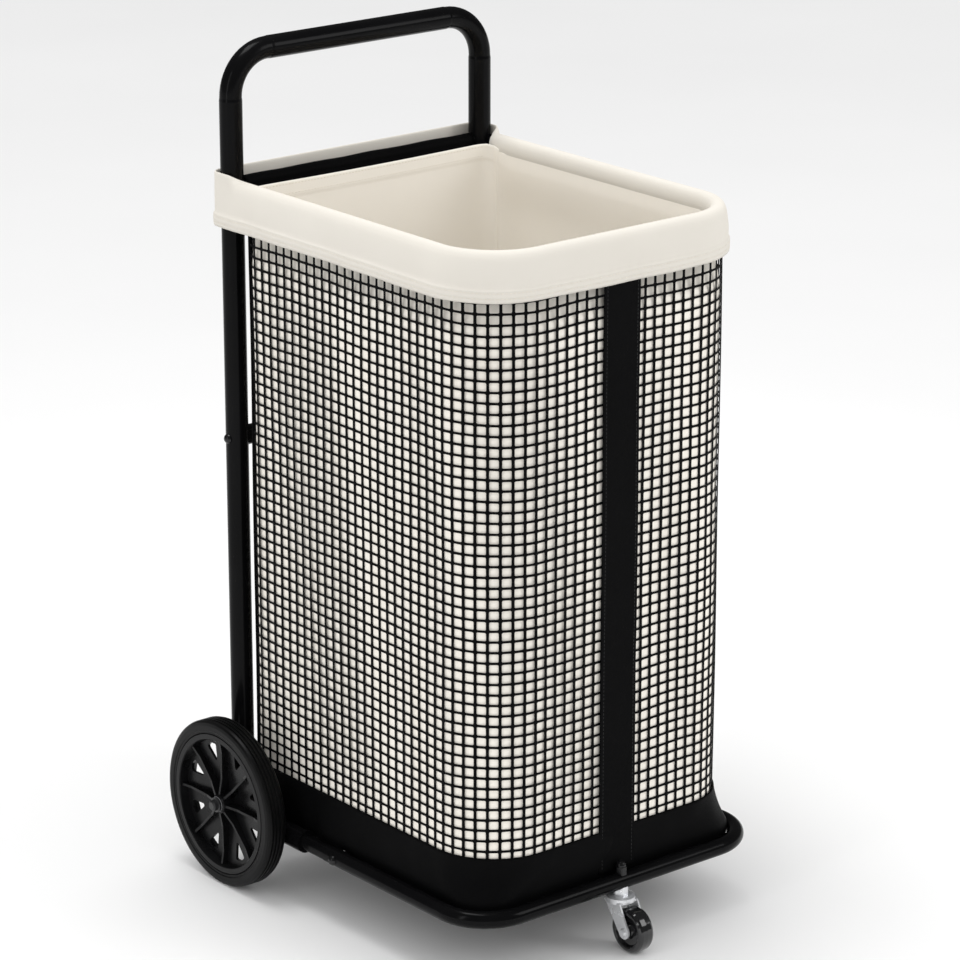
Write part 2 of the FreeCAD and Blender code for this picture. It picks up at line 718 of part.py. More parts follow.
def caster_nut_bottom():
    """Underside of the clamping nut, where the bearing cup begins."""
    return BASE_Z - BASE_TUBE_OD / 2 - CASTER_NUT_H


def make_caster_stem():
    """Stem riveted under the fork, passing up through the base tube into the cap nut."""
    head_top = FORK_TOP_Z - FORK_T - 0.1
    head = Part.makeCone(4.5, 7.0, 2.4, V(0, CASTER_Y, head_top - 2.4), Z_AXIS)
    stem_top = V(0, CASTER_Y, BASE_TOP_Z + CAP_NUT_H + 2.0)
    stem = cylinder(CASTER_STEM_D / 2, V(0, CASTER_Y, head_top - 1.0), stem_top)
    return head.fuse(stem).removeSplitter()


def hexagon(across_flats, base, height):
    """Upright hexagonal prism."""
    radius = across_flats / math.sqrt(3)
    corners = []
    for i in range(6):
        angle = math.radians(60 * i)
        corners.append(base + V(radius * math.cos(angle), radius * math.sin(angle), 0))
    return Part.Face(Part.makePolygon(corners + corners[:1])).extrude(V(0, 0, height))


def make_caster_nut():
    """Nut that clamps the stem against the tube, with a round washer face below."""
    nut_bottom = caster_nut_bottom()
    base = V(0, CASTER_Y, nut_bottom)
    top = V(0, CASTER_Y, BASE_Z)
    nut = hexagon(CASTER_NUT_AF, base, BASE_Z - nut_bottom)
    chamfer_r = CASTER_NUT_AF / 2 + 0.7
    nut = nut.common(cylinder(chamfer_r, base, top))
    tube_low = V(-BASE_HALF, CASTER_Y, BASE_Z)
    tube_high = V(BASE_HALF, CASTER_Y, BASE_Z)
    nut = nut.cut(cylinder(BASE_TUBE_OD / 2, tube_low, tube_high))
    return nut.cut(cylinder(CASTER_STEM_D / 2, base - V(0, 0, 1), top))


def make_caster_cap_nut():
    """Domed nut on top of the base tube that takes the end of the stem."""
    low = V(0, CASTER_Y, BASE_Z)
    shoulder = V(0, CASTER_Y, BASE_TOP_Z + CAP_NUT_H)
    nut = hexagon(CAP_NUT_AF, low, shoulder.z - low.z)
    nut = nut.common(cylinder(CAP_NUT_AF / 2 + 0.5, low, shoulder))
    dome = Part.makeSphere(CAP_NUT_DOME_R, shoulder + V(0, 0, 0.8))
    dome = dome.common(cylinder(CAP_NUT_DOME_R, shoulder, shoulder + V(0, 0, 10.0)))
    nut = nut.fuse(dome)
    tube_low = V(-BASE_HALF, CASTER_Y, BASE_Z)
    tube_high = V(BASE_HALF, CASTER_Y, BASE_Z)
    nut = nut.cut(cylinder(BASE_TUBE_OD / 2, tube_low, tube_high))
    stem_end = V(0, CASTER_Y, BASE_TOP_Z + CAP_NUT_H + 2.0)
    nut = nut.cut(cylinder(CASTER_STEM_D / 2, low, stem_end))
    return max(nut.Solids, key=lambda s: s.Volume).removeSplitter()


def make_caster_cup():
    """Upper bearing cup, fixed to the stem."""
    cup_top = caster_nut_bottom()
    low = FORK_TOP_Z + 0.2
    r = CUP_OD / 2
    inside = r - 2.0
    track_top = FORK_TOP_Z + BALL_D + 0.25
    cup = Part.makeCylinder(r, cup_top - low - 1.2, V(0, CASTER_Y, low), Z_AXIS)
    crown = Part.makeCone(r, r - 4.0, 1.2, V(0, CASTER_Y, cup_top - 1.2), Z_AXIS)
    cup = cup.fuse(crown)
    hollow = cylinder(inside, V(0, CASTER_Y, low - 1), V(0, CASTER_Y, track_top))
    bore = cylinder(CASTER_STEM_D / 2, V(0, CASTER_Y, low - 1), V(0, CASTER_Y, cup_top + 1))
    return cup.cut(hollow).cut(bore).removeSplitter()


def make_caster_balls():
    """Ring of bearing balls between cup and fork."""
    balls = []
    for i in range(BALLS):
        angle = 2 * math.pi * i / BALLS
        x = BALL_RING_R * math.cos(angle)
        y = CASTER_Y + BALL_RING_R * math.sin(angle)
        z = FORK_TOP_Z + BALL_D / 2 + 0.02
        balls.append(Part.makeSphere(BALL_D / 2, V(x, y, z)))
    return balls


def make_caster_fork():
    """Pressed fork: round top plate and two legs that taper down to the wheel pin."""
    plate_r = CUP_OD / 2 - 0.5
    plate_bottom = V(0, CASTER_Y, FORK_TOP_Z - FORK_T)
    fork = cylinder(plate_r, plate_bottom, V(0, CASTER_Y, FORK_TOP_Z))
    half = FORK_GAP / 2 + FORK_T
    shoulder = 13.0
    eye = V(0, CASTER_AXLE_Y, CASTER_R)
    rear = V(0, CASTER_Y + shoulder - 2.0, FORK_TOP_Z)
    front = V(0, CASTER_Y - shoulder, FORK_TOP_Z)
    lean = math.atan2(rear.y - eye.y, rear.z - eye.z)
    rear_touch = eye + V(0, math.cos(lean), -math.sin(lean)) * FORK_EYE_R
    front_touch = eye - V(0, FORK_EYE_R, 0)
    corners = [rear, front, front_touch, eye, rear_touch]
    leg = Part.Face(Part.makePolygon(corners + corners[:1])).extrude(V(FORK_T, 0, 0))
    leg = leg.fuse(cylinder(FORK_EYE_R, eye, eye + V(FORK_T, 0, 0)))
    for x in (-half, half - FORK_T):
        placed = leg.copy()
        placed.translate(V(x, 0, 0))
        fork = fork.fuse(placed)
    wing_low = V(-half, CASTER_Y - shoulder, FORK_TOP_Z - FORK_T)
    wing_high = V(half, CASTER_Y + shoulder - 2.0, FORK_TOP_Z)
    fork = fork.fuse(box(wing_low, wing_high))
    top = V(0, CASTER_Y, FORK_TOP_Z + 1)
    fork = fork.cut(cylinder(CASTER_STEM_D / 2 + RUN_FIT, plate_bottom - V(0, 0, 1), top))
    pin_a = V(-half - 1, CASTER_AXLE_Y, CASTER_R)
    pin_b = V(half + 1, CASTER_AXLE_Y, CASTER_R)
    return fork.cut(cylinder(CASTER_PIN_D / 2, pin_a, pin_b)).removeSplitter()


def make_caster_pin():
    """Rivet through the fork that the small wheel turns on."""
    half = FORK_GAP / 2 + FORK_T
    pin_a = V(-half - 2.2, CASTER_AXLE_Y, CASTER_R)
    pin_b = V(half + 2.2, CASTER_AXLE_Y, CASTER_R)
    pin = cylinder(CASTER_PIN_D / 2, pin_a, pin_b)
    for side in SIDES:
        base = V(side * half, CASTER_AXLE_Y, CASTER_R)
        pin = pin.fuse(Part.makeCone(5.0, 3.0, 2.2, base, V(side, 0, 0)))
    return pin.removeSplitter()


def caster_bush_r():
    """Outer radius of the bush in the small wheel."""
    return CASTER_PIN_D / 2 + RUN_FIT + 1.5


def make_caster_wheel():
    """Small solid wheel with a crowned tread and dished sides."""
    half = CASTER_W / 2
    bore = caster_bush_r()
    points = [
        (-half + 0.5, bore), (-half + 0.5, 8.0), (-half + 3.5, 9.5), (-half + 3.5, 16.0),
        (-half + 0.6, 18.0), (-half, 19.5), (-half, 21.5), (-half + 1.2, 23.6), (-half + 3.5, 24.7),
        (0, CASTER_R), (half - 3.5, 24.7), (half - 1.2, 23.6), (half, 21.5), (half, 19.5),
        (half - 0.6, 18.0), (half - 3.5, 16.0), (half - 3.5, 9.5), (half - 0.5, 8.0), (half - 0.5, bore),
    ]
    wheel = turned(points)
    wheel.translate(V(0, CASTER_AXLE_Y, CASTER_R))
    return wheel


def make_caster_bush():
    """Bush between the small wheel and its pin."""
    half = FORK_GAP / 2 - SIDE_PLAY
    a = V(-half, CASTER_AXLE_Y, CASTER_R)
    b = V(half, CASTER_AXLE_Y, CASTER_R)
    return ring(caster_bush_r(), CASTER_PIN_D / 2 + RUN_FIT, a, b)


# ---- front stay -------------------------------------------------------------------------------

def clip_rear_y():
    """Back of the clip that holds the stay on the rim."""
    return RIM_FRONT_Y + RIM_OD / 2 + CLIP_WALL


def make_front_stay():
    """Flat stay that stands on the bag's floor cloth and props the front of the rim."""
    low = V(-STAY_HALF, STAY_FRONT_Y, BAG_FLOOR_Z + MESH_T + 0.1)
    high = V(STAY_HALF, STAY_FRONT_Y + STAY_T, RIM_UNDER_Z - 0.2)
    return box(low, high)


def make_stay_clip():
    """Spring clip round the rim tube, with a pocket for the top of the stay."""
    a = V(-CLIP_HALF, RIM_FRONT_Y, RIM_Z)
    b = V(CLIP_HALF, RIM_FRONT_Y, RIM_Z)
    clip = cylinder(RIM_OD / 2 + CLIP_WALL, a, b)
    mouth = V(CLIP_HALF, clip_rear_y(), RIM_Z + RIM_OD)
    clip = clip.cut(box(V(-CLIP_HALF, BAG_FRONT_Y - 5.0, RIM_Z + CLIP_MOUTH_RISE), mouth))
    pocket_low = V(-STAY_HALF - 1.5, STAY_FRONT_Y - 0.05, RIM_Z - RIM_OD / 2 - 12.0)
    pocket_high = V(STAY_HALF + 1.5, STAY_FRONT_Y + STAY_T + 0.05, RIM_Z)
    clip = clip.fuse(box(pocket_low, pocket_high))
    clip = clip.cut(cylinder(RIM_OD / 2, a, b)).cut(make_front_stay())
    mesh_zone = V(CLIP_HALF, BAG_FRONT_Y + MESH_T + 0.05, MESH_TOP_Z + 0.1)
    clip = clip.cut(box(V(-CLIP_HALF, BAG_FRONT_Y - 5.0, RIM_Z - RIM_OD), mesh_zone))
    return max(clip.Solids, key=lambda s: s.Volume).removeSplitter()


# ---- soft goods -------------------------------------------------------------------------------

def make_mesh_shell():
    """Open mesh walls of the bag, as a thin closed wall."""
    outer = bag_block(0, BAND_TOP_Z, MESH_TOP_Z)
    return outer.cut(bag_block(MESH_T, BAND_TOP_Z, MESH_TOP_Z))


def make_base_band():
    """Closed black band and floor cloth at the foot of the bag."""
    outer = bag_block(0, BAG_FLOOR_Z, BAND_TOP_Z - 0.05)
    return outer.cut(bag_block(MESH_T, BAG_FLOOR_Z + MESH_T, BAND_TOP_Z))


def board_low():
    """Underside of the stiff floor board."""
    return BAG_FLOOR_Z + MESH_T + 0.1


def make_floor_board():
    """Stiff board that keeps the floor of the bag flat."""
    return bag_block(LINER_INSET, board_low(), board_low() + BOARD_T)


def liner_floor_low():
    """Underside of the liner's floor."""
    return board_low() + BOARD_T + 0.1


def make_liner():
    """Removable liner: four walls and a floor, lower at the back."""
    low = liner_floor_low()
    inset = LINER_INSET
    top = RIM_UNDER_Z
    liner = bag_block(inset, low, top)
    liner = liner.cut(bag_block(inset + LINER_T, low + LINER_T, top))
    collar_inset = RIM_INSET + RIM_OD / 2 + FABRIC_GAP
    collar = bag_block(collar_inset, top - LINER_T, CUFF_TOP - CUFF_T - 0.1)
    collar = collar.cut(bag_block(collar_inset + LINER_T, top - LINER_T, CUFF_TOP))
    ledge = bag_block(inset, top - LINER_T, top).cut(bag_block(collar_inset + LINER_T, top - LINER_T, top))
    collar = collar.fuse(ledge)
    rear_y = BAG_REAR_Y - BAG_REAR_R
    collar = collar.cut(box(V(-BAG_HALF, rear_y, top - LINER_T), V(BAG_HALF, BAG_REAR_Y, CUFF_TOP)))
    liner = liner.fuse(collar)
    back = box(V(-BAG_HALF, rear_y, MESH_TOP_Z), V(BAG_HALF, BAG_REAR_Y, CUFF_TOP))
    notch_low = V(-CLIP_HALF - 1.0, BAG_FRONT_Y, RIM_Z - RIM_OD / 2 - CLIP_WALL - FABRIC_GAP)
    notch_high = V(CLIP_HALF + 1.0, clip_rear_y() + FABRIC_GAP, RIM_Z + CLIP_MOUTH_RISE + FABRIC_GAP)
    liner = liner.cut(back).cut(box(notch_low, notch_high))
    return max(liner.Solids, key=lambda s: s.Volume).removeSplitter()


def make_cuff():
    """Folded cuff: over the rim at the front and sides, and round behind the uprights."""
    wall = cuff_block(0, CUFF_BOTTOM, CUFF_TOP).cut(cuff_block(CUFF_T, CUFF_BOTTOM, CUFF_TOP))
    collar_inset = RIM_INSET + RIM_OD / 2 + FABRIC_GAP
    lid = cuff_block(0, CUFF_TOP - CUFF_T, CUFF_TOP)
    mouth_inset = collar_inset + LINER_T
    lid = lid.cut(bag_block(mouth_inset, CUFF_TOP - CUFF_T, CUFF_TOP))
    mouth_low = V(mouth_inset - BAG_HALF, BAG_FRONT_Y + BAG_FRONT_R, CUFF_TOP - CUFF_T)
    lid = lid.cut(box(mouth_low, V(BAG_HALF - mouth_inset, CUFF_REAR_Y, CUFF_TOP)))
    back_y = UPRIGHT_Y - UPRIGHT_OD / 2 - 3.0
    back = box(V(-CUFF_HALF, back_y, CUFF_TOP - CUFF_T), V(CUFF_HALF, CUFF_REAR_Y, CUFF_TOP))
    return wall.fuse(lid.cut(back)).removeSplitter()


def make_front_strap():
    """Flat strap sewn down the middle of the bag's front."""
    back = BAG_FRONT_Y - FABRIC_GAP
    low = V(-STRAP_HALF, back - STRAP_T, STRAP_LOW_Z)
    return box(low, V(STRAP_HALF, back, STRAP_HIGH_Z))


def make_hem_sleeve():
    """Sleeve at the top of the bag's back panel, over the rear rim bar."""
    reach = UPRIGHT_HALF - UPRIGHT_OD / 2 - 1.0
    a = V(-reach, UPRIGHT_Y, RIM_Z)
    b = V(reach, UPRIGHT_Y, RIM_Z)
    return ring(HEM_SLEEVE_OD / 2, RIM_OD / 2 + FABRIC_GAP, a, b)


# ---- write every node -----------------------------------------------------------------------

os.makedirs("parts", exist_ok=True)

export("handle_tube", make_handle_tube())
export("lower_upright_left", make_lower_upright(-1))
export("lower_upright_right", make_lower_upright(1))
export("middle_crossbar", make_cross_member(CROSSBAR_OD, CROSSBAR_WALL, CROSSBAR_Z))
export("crossbar_inserts", *make_crossbar_inserts())
export("crossbar_bolts", *make_crossbar_bolts())
export("rim_tube", make_rim_tube())
export("rim_rear_bar", make_cross_member(RIM_OD, RIM_WALL, RIM_Z))
export("rear_base_tube", make_rear_base_tube())
export("base_cross_tube", make_base_cross_tube())
export("base_stubs", *make_base_stubs())
export("front_base_tube", make_front_base_tube())
export("base_bolts", *make_base_bolts())
export("base_nuts", *make_base_nuts())
export("axle_bosses", *make_axle_bosses())
export("stub_axles", *make_stub_axles())
export("axle_washers", *make_axle_washers())
export("hub_caps", *make_hub_caps())
export("front_stay", make_front_stay())
export("stay_clip", make_stay_clip())
export("caster_cap_nut", make_caster_cap_nut())
export("caster_stem", make_caster_stem())
export("caster_nut", make_caster_nut())
export("caster_cup", make_caster_cup())
export("caster_balls", *make_caster_balls())
export("caster_fork", make_caster_fork())
export("caster_pin", make_caster_pin())
export("caster_wheel", make_caster_wheel())
export("caster_bush", make_caster_bush())

wheel_pieces = {
    "tyre": [make_tyre()],
    "wheel_centre": [make_wheel_centre()],
    "wheel_bushes": list(make_wheel_bushes()),
}
for piece_name, piece_solids in wheel_pieces.items():
    right = [on_wheel_seat(s) for s in piece_solids]
    export("right_" + piece_name, *right)
    export("left_" + piece_name, *[mirrored(s) for s in right])

export("mesh_shell", make_mesh_shell())
export("base_band", make_base_band())
export("floor_board", make_floor_board())
export("liner", make_liner())
export("liner_cuff", make_cuff())
export("front_strap", make_front_strap())
export("hem_sleeve", make_hem_sleeve())
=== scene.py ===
"""Laundry cart: the bag, its liner, webbing and stitching, and every finish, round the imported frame."""

import json
import math

import bpy
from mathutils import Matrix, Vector


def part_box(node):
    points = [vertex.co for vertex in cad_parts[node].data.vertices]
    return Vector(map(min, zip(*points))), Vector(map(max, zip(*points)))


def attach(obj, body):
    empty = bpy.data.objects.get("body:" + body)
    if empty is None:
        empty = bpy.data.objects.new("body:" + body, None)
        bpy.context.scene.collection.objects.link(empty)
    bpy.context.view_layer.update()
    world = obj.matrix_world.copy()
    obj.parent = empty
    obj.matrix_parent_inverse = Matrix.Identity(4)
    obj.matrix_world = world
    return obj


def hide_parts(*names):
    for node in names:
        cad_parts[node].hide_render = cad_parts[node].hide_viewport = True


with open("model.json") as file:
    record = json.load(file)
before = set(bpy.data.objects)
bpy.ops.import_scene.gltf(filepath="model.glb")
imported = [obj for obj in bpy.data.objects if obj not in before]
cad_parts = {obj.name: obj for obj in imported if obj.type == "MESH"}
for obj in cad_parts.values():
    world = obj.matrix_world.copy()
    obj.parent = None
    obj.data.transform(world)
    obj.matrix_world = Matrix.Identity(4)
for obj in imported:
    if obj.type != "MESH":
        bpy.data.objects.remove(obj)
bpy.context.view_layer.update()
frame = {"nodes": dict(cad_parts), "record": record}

MM = 0.001

# ---- places taken from the frame -----------------------------------------------------------
bag_low, bag_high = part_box("mesh_shell")
cuff_low, cuff_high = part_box("liner_cuff")
band_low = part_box("base_band")[0]
strap_low, strap_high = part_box("front_strap")
sleeve_low, sleeve_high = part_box("hem_sleeve")
Y_SHIFT = bag_high[1] - 150 * MM       # the bag's back panel stands 150 mm behind the drawing's datum

BAG_FRONT_R = 76 * MM
BAG_REAR_R = 35 * MM
CUFF_FRONT_R = 81 * MM
CUFF_REAR_R = 14 * MM


# ---- plans of the bag and of the cuff --------------------------------------------------------

def make_plan(half, front, rear, front_r, rear_r):
    """Closed outline seen from above, from the middle of the back round by the left side."""
    corners = [
        (Vector((-half + rear_r, rear - rear_r)), rear_r, 90),
        (Vector((-half + front_r, front + front_r)), front_r, 180),
        (Vector((half - front_r, front + front_r)), front_r, 270),
        (Vector((half - rear_r, rear - rear_r)), rear_r, 0),
    ]
    spans = []
    here = Vector((0, rear))
    for centre, radius, start in corners:
        begin = centre + direction(start) * radius
        spans.append(("line", here, begin, direction(start)))
        spans.append(("arc", centre, radius, start))
        here = centre + direction(start + 90) * radius
    spans.append(("line", here, Vector((0, rear)), direction(90)))
    lengths = [
        (s[2] - s[1]).length if s[0] == "line" else s[2] * math.pi / 2
        for s in spans
    ]
    return spans, lengths, sum(lengths)


def direction(degrees):
    """Unit vector at an angle in the plan."""
    return Vector((math.cos(math.radians(degrees)), math.sin(math.radians(degrees))))


def plan_at(plan, s):
    """Point and outward direction at a distance along the outline."""
    spans, lengths, total = plan
    s = s % total
    for span, length in zip(spans, lengths):
        if s <= length:
            break
        s -= length
    if span[0] == "line":
        t = s / length if length else 0
        return span[1].lerp(span[2], t), span[3]
    out = direction(span[3] + 90 * s / length)
    return span[1] + out * span[2], out


def plan_mark(plan, index):
    """Distance along the outline to the start of one of its spans."""
    return sum(plan[1][:index])


BAG_HALF = bag_high[0]
bag_plan = make_plan(BAG_HALF, bag_low[1], bag_high[1], BAG_FRONT_R, BAG_REAR_R)
cuff_plan = make_plan(cuff_high[0], cuff_low[1], cuff_high[1], CUFF_FRONT_R, CUFF_REAR_R)
BAG_GIRTH = bag_plan[2]
CUFF_GIRTH = cuff_plan[2]


def outline_point(plan, s, inset, z):
    """Point at a height, set in from an outline."""
    place, out = plan_at(plan, s)
    place = place - out * inset
    return Vector((place.x, place.y, z))


def bag_point(s, inset, z):
    """Point on the bag's wall, set in from its outer face."""
    return outline_point(bag_plan, s, inset, z)


def cuff_point(s, inset, z):
    """Point on the cuff, set in from its outer face."""
    return outline_point(cuff_plan, s, inset, z)


def wave(s, girth, turns, phase):
    """A wave that closes on itself round the bag."""
    return math.sin(2 * math.pi * turns * s / girth + phase)


def smooth(x, low, high):
    """0 below low, 1 above high, with a soft change between."""
    t = min(1.0, max(0.0, (x - low) / (high - low)))
    return t * t * (3 - 2 * t)


# ---- making cloth --------------------------------------------------------------------------

def new_object(name, verts, faces):
    """Object from points and faces, at the origin."""
    mesh = bpy.data.meshes.new(name)
    mesh.from_pydata([tuple(v) for v in verts], [], faces)
    mesh.update()
    piece = bpy.data.objects.new(name, mesh)
    bpy.context.collection.objects.link(piece)
    return piece


def shade_soft(piece):
    """Smooth shading over the whole piece."""
    piece.data.polygons.foreach_set("use_smooth", [True] * len(piece.data.polygons))


def only(piece):
    """Select one piece and nothing else."""
    bpy.ops.object.select_all(action="DESELECT")
    piece.select_set(True)
    bpy.context.view_layer.objects.active = piece


def cloth_grid(name, across, along, place, closed=False):
    """Sheet of cloth: place(u, v) gives each point; its UV map is in metres of cloth."""
    points = [[place(u, v) for u in across] for v in along]
    count = len(across)
    verts = [p for row in points for p in row]
    faces = []
    uvs = []
    runs = [0.0]
    for a, b in zip(points[:-1], points[1:]):
        runs.append(runs[-1] + (b[0] - a[0]).length)
    last = count if closed else count - 1
    for j in range(len(along) - 1):
        for i in range(last):
            k = (i + 1) % count
            faces.append((j * count + i, j * count + k, (j + 1) * count + k, (j + 1) * count + i))
            right = across[k] if k > i else across[i] + (across[1] - across[0])
            uvs += [(across[i], runs[j]), (right, runs[j]), (right, runs[j + 1]), (across[i], runs[j + 1])]
    piece = new_object(name, verts, faces)
    layer = piece.data.uv_layers.new(name="UVMap")
    for corner, uv in zip(layer.data, uvs):
        corner.uv = uv
    shade_soft(piece)
    return piece


def merge_points(piece, distance=0.00001):
    """Join points that fall together, such as those at a pole."""
    only(piece)
    bpy.ops.object.mode_set(mode="EDIT")
    bpy.ops.mesh.select_all(action="SELECT")
    bpy.ops.mesh.remove_doubles(threshold=distance)
    bpy.ops.object.mode_set(mode="OBJECT")


def thicken(piece, thickness, offset=-1.0):
    """Give the sheet its thickness and close its edges."""
    only(piece)
    solid = piece.modifiers.new("thickness", "SOLIDIFY")
    solid.thickness = thickness
    solid.offset = offset
    bpy.ops.object.modifier_apply(modifier="thickness")


def spaced(start, end, step, extra=()):
    """Even places from start to end, with some extra ones put in."""
    count = max(1, round((end - start) / step))
    places = {round(start + (end - start) * i / count, 6) for i in range(count + 1)}
    places |= {round(e, 6) for e in extra if start < e < end}
    ordered = sorted(places)
    kept = [ordered[0]]
    for p in ordered[1:]:
        if p - kept[-1] > 0.0004:
            kept.append(p)
    return kept


def stitch_template(length, width):
    """One stitch of thread, lying along X."""
    bpy.ops.object.select_all(action="DESELECT")
    bpy.ops.mesh.primitive_uv_sphere_add(segments=6, ring_count=4, radius=0.5)
    piece = bpy.context.active_object
    piece.scale = (width, width, length)
    piece.rotation_euler = (0, math.pi / 2, 0)
    bpy.ops.object.transform_apply(location=True, rotation=True, scale=True)
    verts = [v.co.copy() for v in piece.data.vertices]
    faces = [tuple(p.vertices) for p in piece.data.polygons]
    bpy.data.objects.remove(piece)
    return verts, faces


def stitch_row(name, points, length=3.2 * MM, width=0.75 * MM, gap=1.1 * MM):
    """Row of stitches along a line of (place, outward) pairs."""
    shape, shape_faces = stitch_template(length, width)
    verts, faces = [], []
    travel = 0.0
    due = length / 2
    for (a, out_a), (b, _) in zip(points[:-1], points[1:]):
        span = b - a
        run = span.length
        along = span.normalized()
        side = out_a.cross(along).normalized()
        up = along.cross(side).normalized()
        while due <= travel + run:
            centre = a + along * (due - travel)
            base = len(verts)
            verts += [centre + along * v.x + side * v.y + up * v.z for v in shape]
            faces += [tuple(base + i for i in f) for f in shape_faces]
            due += length + gap
        travel += run
    piece = new_object(name, verts, faces)
    shade_soft(piece)
    return piece


# ---- shader groups ----------------------------------------------------------------------------
MIX_COLOUR_INPUTS = (0, 6, 7)       # a mix node's factor and its two colours
MIX_COLOUR_RESULT = 2


def feed(tree, socket, value):
    """Link a socket to another, or give it a plain value."""
    if isinstance(value, bpy.types.NodeSocket):
        tree.links.new(value, socket)
    else:
        socket.default_value = value


def feed_named(tree, made, sockets):
    """Feed each of a node's sockets by its name, with _ for a space."""
    for key, value in sockets.items():
        feed(tree, made.inputs[key.replace("_", " ")], value)
    return made


def put(tree, kind, **sockets):
    """Add a node, and set or link its sockets."""
    return feed_named(tree, tree.nodes.new(kind), sockets)


def maths(tree, operation, a, b=None, c=None):
    """One sum; gives its result."""
    made = tree.nodes.new("ShaderNodeMath")
    made.operation = operation
    for i, value in enumerate((a, b, c)):
        if value is not None:
            feed(tree, made.inputs[i], value)
    return made.outputs[0]


def blend_colours(tree, factor, first, second, blend="MIX"):
    """Mix of two colours by a mask."""
    made = tree.nodes.new("ShaderNodeMix")
    made.data_type = "RGBA"
    made.blend_type = blend
    for index, value in zip(MIX_COLOUR_INPUTS, (factor, first, second)):
        feed(tree, made.inputs[index], value)
    return made.outputs[MIX_COLOUR_RESULT]


def ranged(tree, value, low, high):
    """Value of 0 to 1 brought to low to high."""
    made = put(tree, "ShaderNodeMapRange", Value=value, To_Min=low, To_Max=high)
    return made.outputs["Result"]


def start_group(name, inputs, outputs):
    """Empty shader group with named sockets."""
    group = bpy.data.node_groups.new(name, "ShaderNodeTree")
    for label, kind, value in inputs:
        socket = group.interface.new_socket(name=label, in_out="INPUT", socket_type=kind)
        if value is not None:
            socket.default_value = value
    for label in outputs:
        group.interface.new_socket(name=label, in_out="OUTPUT", socket_type="NodeSocketFloat")
    return group, group.nodes.new("NodeGroupInput"), group.nodes.new("NodeGroupOutput")


FLOAT = "NodeSocketFloat"
VECTOR = "NodeSocketVector"


def make_mottle_group():
    """Soft cloudy variation and fine grain."""
    group, given, result = start_group(
        "mottle",
        [("Vector", VECTOR, None), ("Cloud Size", FLOAT, 9.0), ("Grain Size", FLOAT, 700.0)],
        ["Cloud", "Grain"],
    )
    cloud = put(group, "ShaderNodeTexNoise", Vector=given.outputs["Vector"],
                Scale=given.outputs["Cloud Size"], Detail=3.0, Roughness=0.55)
    grain = put(group, "ShaderNodeTexNoise", Vector=given.outputs["Vector"],
                Scale=given.outputs["Grain Size"], Detail=2.0, Roughness=0.6)
    spread = put(group, "ShaderNodeMapRange", Value=cloud.outputs[0], From_Min=0.3, From_Max=0.7)
    group.links.new(spread.outputs["Result"], result.inputs["Cloud"])
    group.links.new(grain.outputs[0], result.inputs["Grain"])
    return group


def make_weave_group():
    """Plain weave: threads over and under, uneven in thickness, with slubs."""
    group, given, result = start_group(
        "weave",
        [("Vector", VECTOR, None), ("Across", FLOAT, 700.0), ("Along", FLOAT, 700.0), ("Uneven", FLOAT, 0.35)],
        ["Height", "Thread"],
    )
    drift = put(group, "ShaderNodeTexNoise", Vector=given.outputs["Vector"], Scale=260.0, Detail=2.0)
    parts = put(group, "ShaderNodeSeparateXYZ", Vector=given.outputs["Vector"])
    shift = maths(group, "MULTIPLY", drift.outputs[0], given.outputs["Uneven"])
    waves = []
    for axis, size in (("X", "Across"), ("Y", "Along")):
        turns = maths(group, "MULTIPLY", parts.outputs[axis], given.outputs[size])
        turns = maths(group, "ADD", turns, shift)
        waves.append(maths(group, "SINE", maths(group, "MULTIPLY", turns, 2 * math.pi)))
    over = maths(group, "MULTIPLY", waves[0], waves[1])
    height = maths(group, "MULTIPLY_ADD", over, 0.5, 0.5)
    slub = put(group, "ShaderNodeTexNoise", Vector=given.outputs["Vector"], Scale=90.0, Detail=4.0, Roughness=0.7)
    height = maths(group, "MULTIPLY_ADD", slub.outputs[0], 0.35, height)
    group.links.new(height, result.inputs["Height"])
    group.links.new(slub.outputs[0], result.inputs["Thread"])
    return group


def make_scuff_group():
    """Fine handling marks: thin streaks that show here and there."""
    group, given, result = start_group(
        "scuffs",
        [("Vector", VECTOR, None), ("Amount", FLOAT, 0.5)],
        ["Mask"],
    )
    stretch = put(group, "ShaderNodeMapping", Vector=given.outputs["Vector"])
    stretch.inputs["Scale"].default_value = (60.0, 60.0, 8.0)
    stretch.inputs["Rotation"].default_value = (0.5, 0.3, 0.0)
    streak = put(group, "ShaderNodeTexNoise", Vector=stretch.outputs[0], Scale=6.0, Detail=6.0, Roughness=0.75)
    where = put(group, "ShaderNodeTexNoise", Vector=given.outputs["Vector"], Scale=14.0, Detail=2.0)
    thin = put(group, "ShaderNodeMapRange", Value=streak.outputs[0], From_Min=0.62, From_Max=0.72)
    place = put(group, "ShaderNodeMapRange", Value=where.outputs[0], From_Min=0.48, From_Max=0.62)
    both = maths(group, "MULTIPLY", thin.outputs["Result"], place.outputs["Result"])
    group.links.new(maths(group, "MULTIPLY", both, given.outputs["Amount"]), result.inputs["Mask"])
    return group


mottle_group = make_mottle_group()
weave_group = make_weave_group()
scuff_group = make_scuff_group()


def use_group(tree, group, **sockets):
    """Place a shared group in a material."""
    made = tree.nodes.new("ShaderNodeGroup")
    made.node_tree = group
    return feed_named(tree, made, sockets)


def new_finish(name, **shader):
    """Material with a Principled shader; gives it, its tree, the shader and the coordinates."""
    material = bpy.data.materials.new(name)
    material.use_nodes = True
    tree = material.node_tree
    tree.nodes.clear()
    surface = put(tree, "ShaderNodeBsdfPrincipled", **shader)
    output = tree.nodes.new("ShaderNodeOutputMaterial")
    tree.links.new(surface.outputs[0], output.inputs["Surface"])
    places = tree.nodes.new("ShaderNodeTexCoord")
    return material, tree, surface, places


def colour(r, g, b):
    """Opaque colour."""
    return (r, g, b, 1.0)


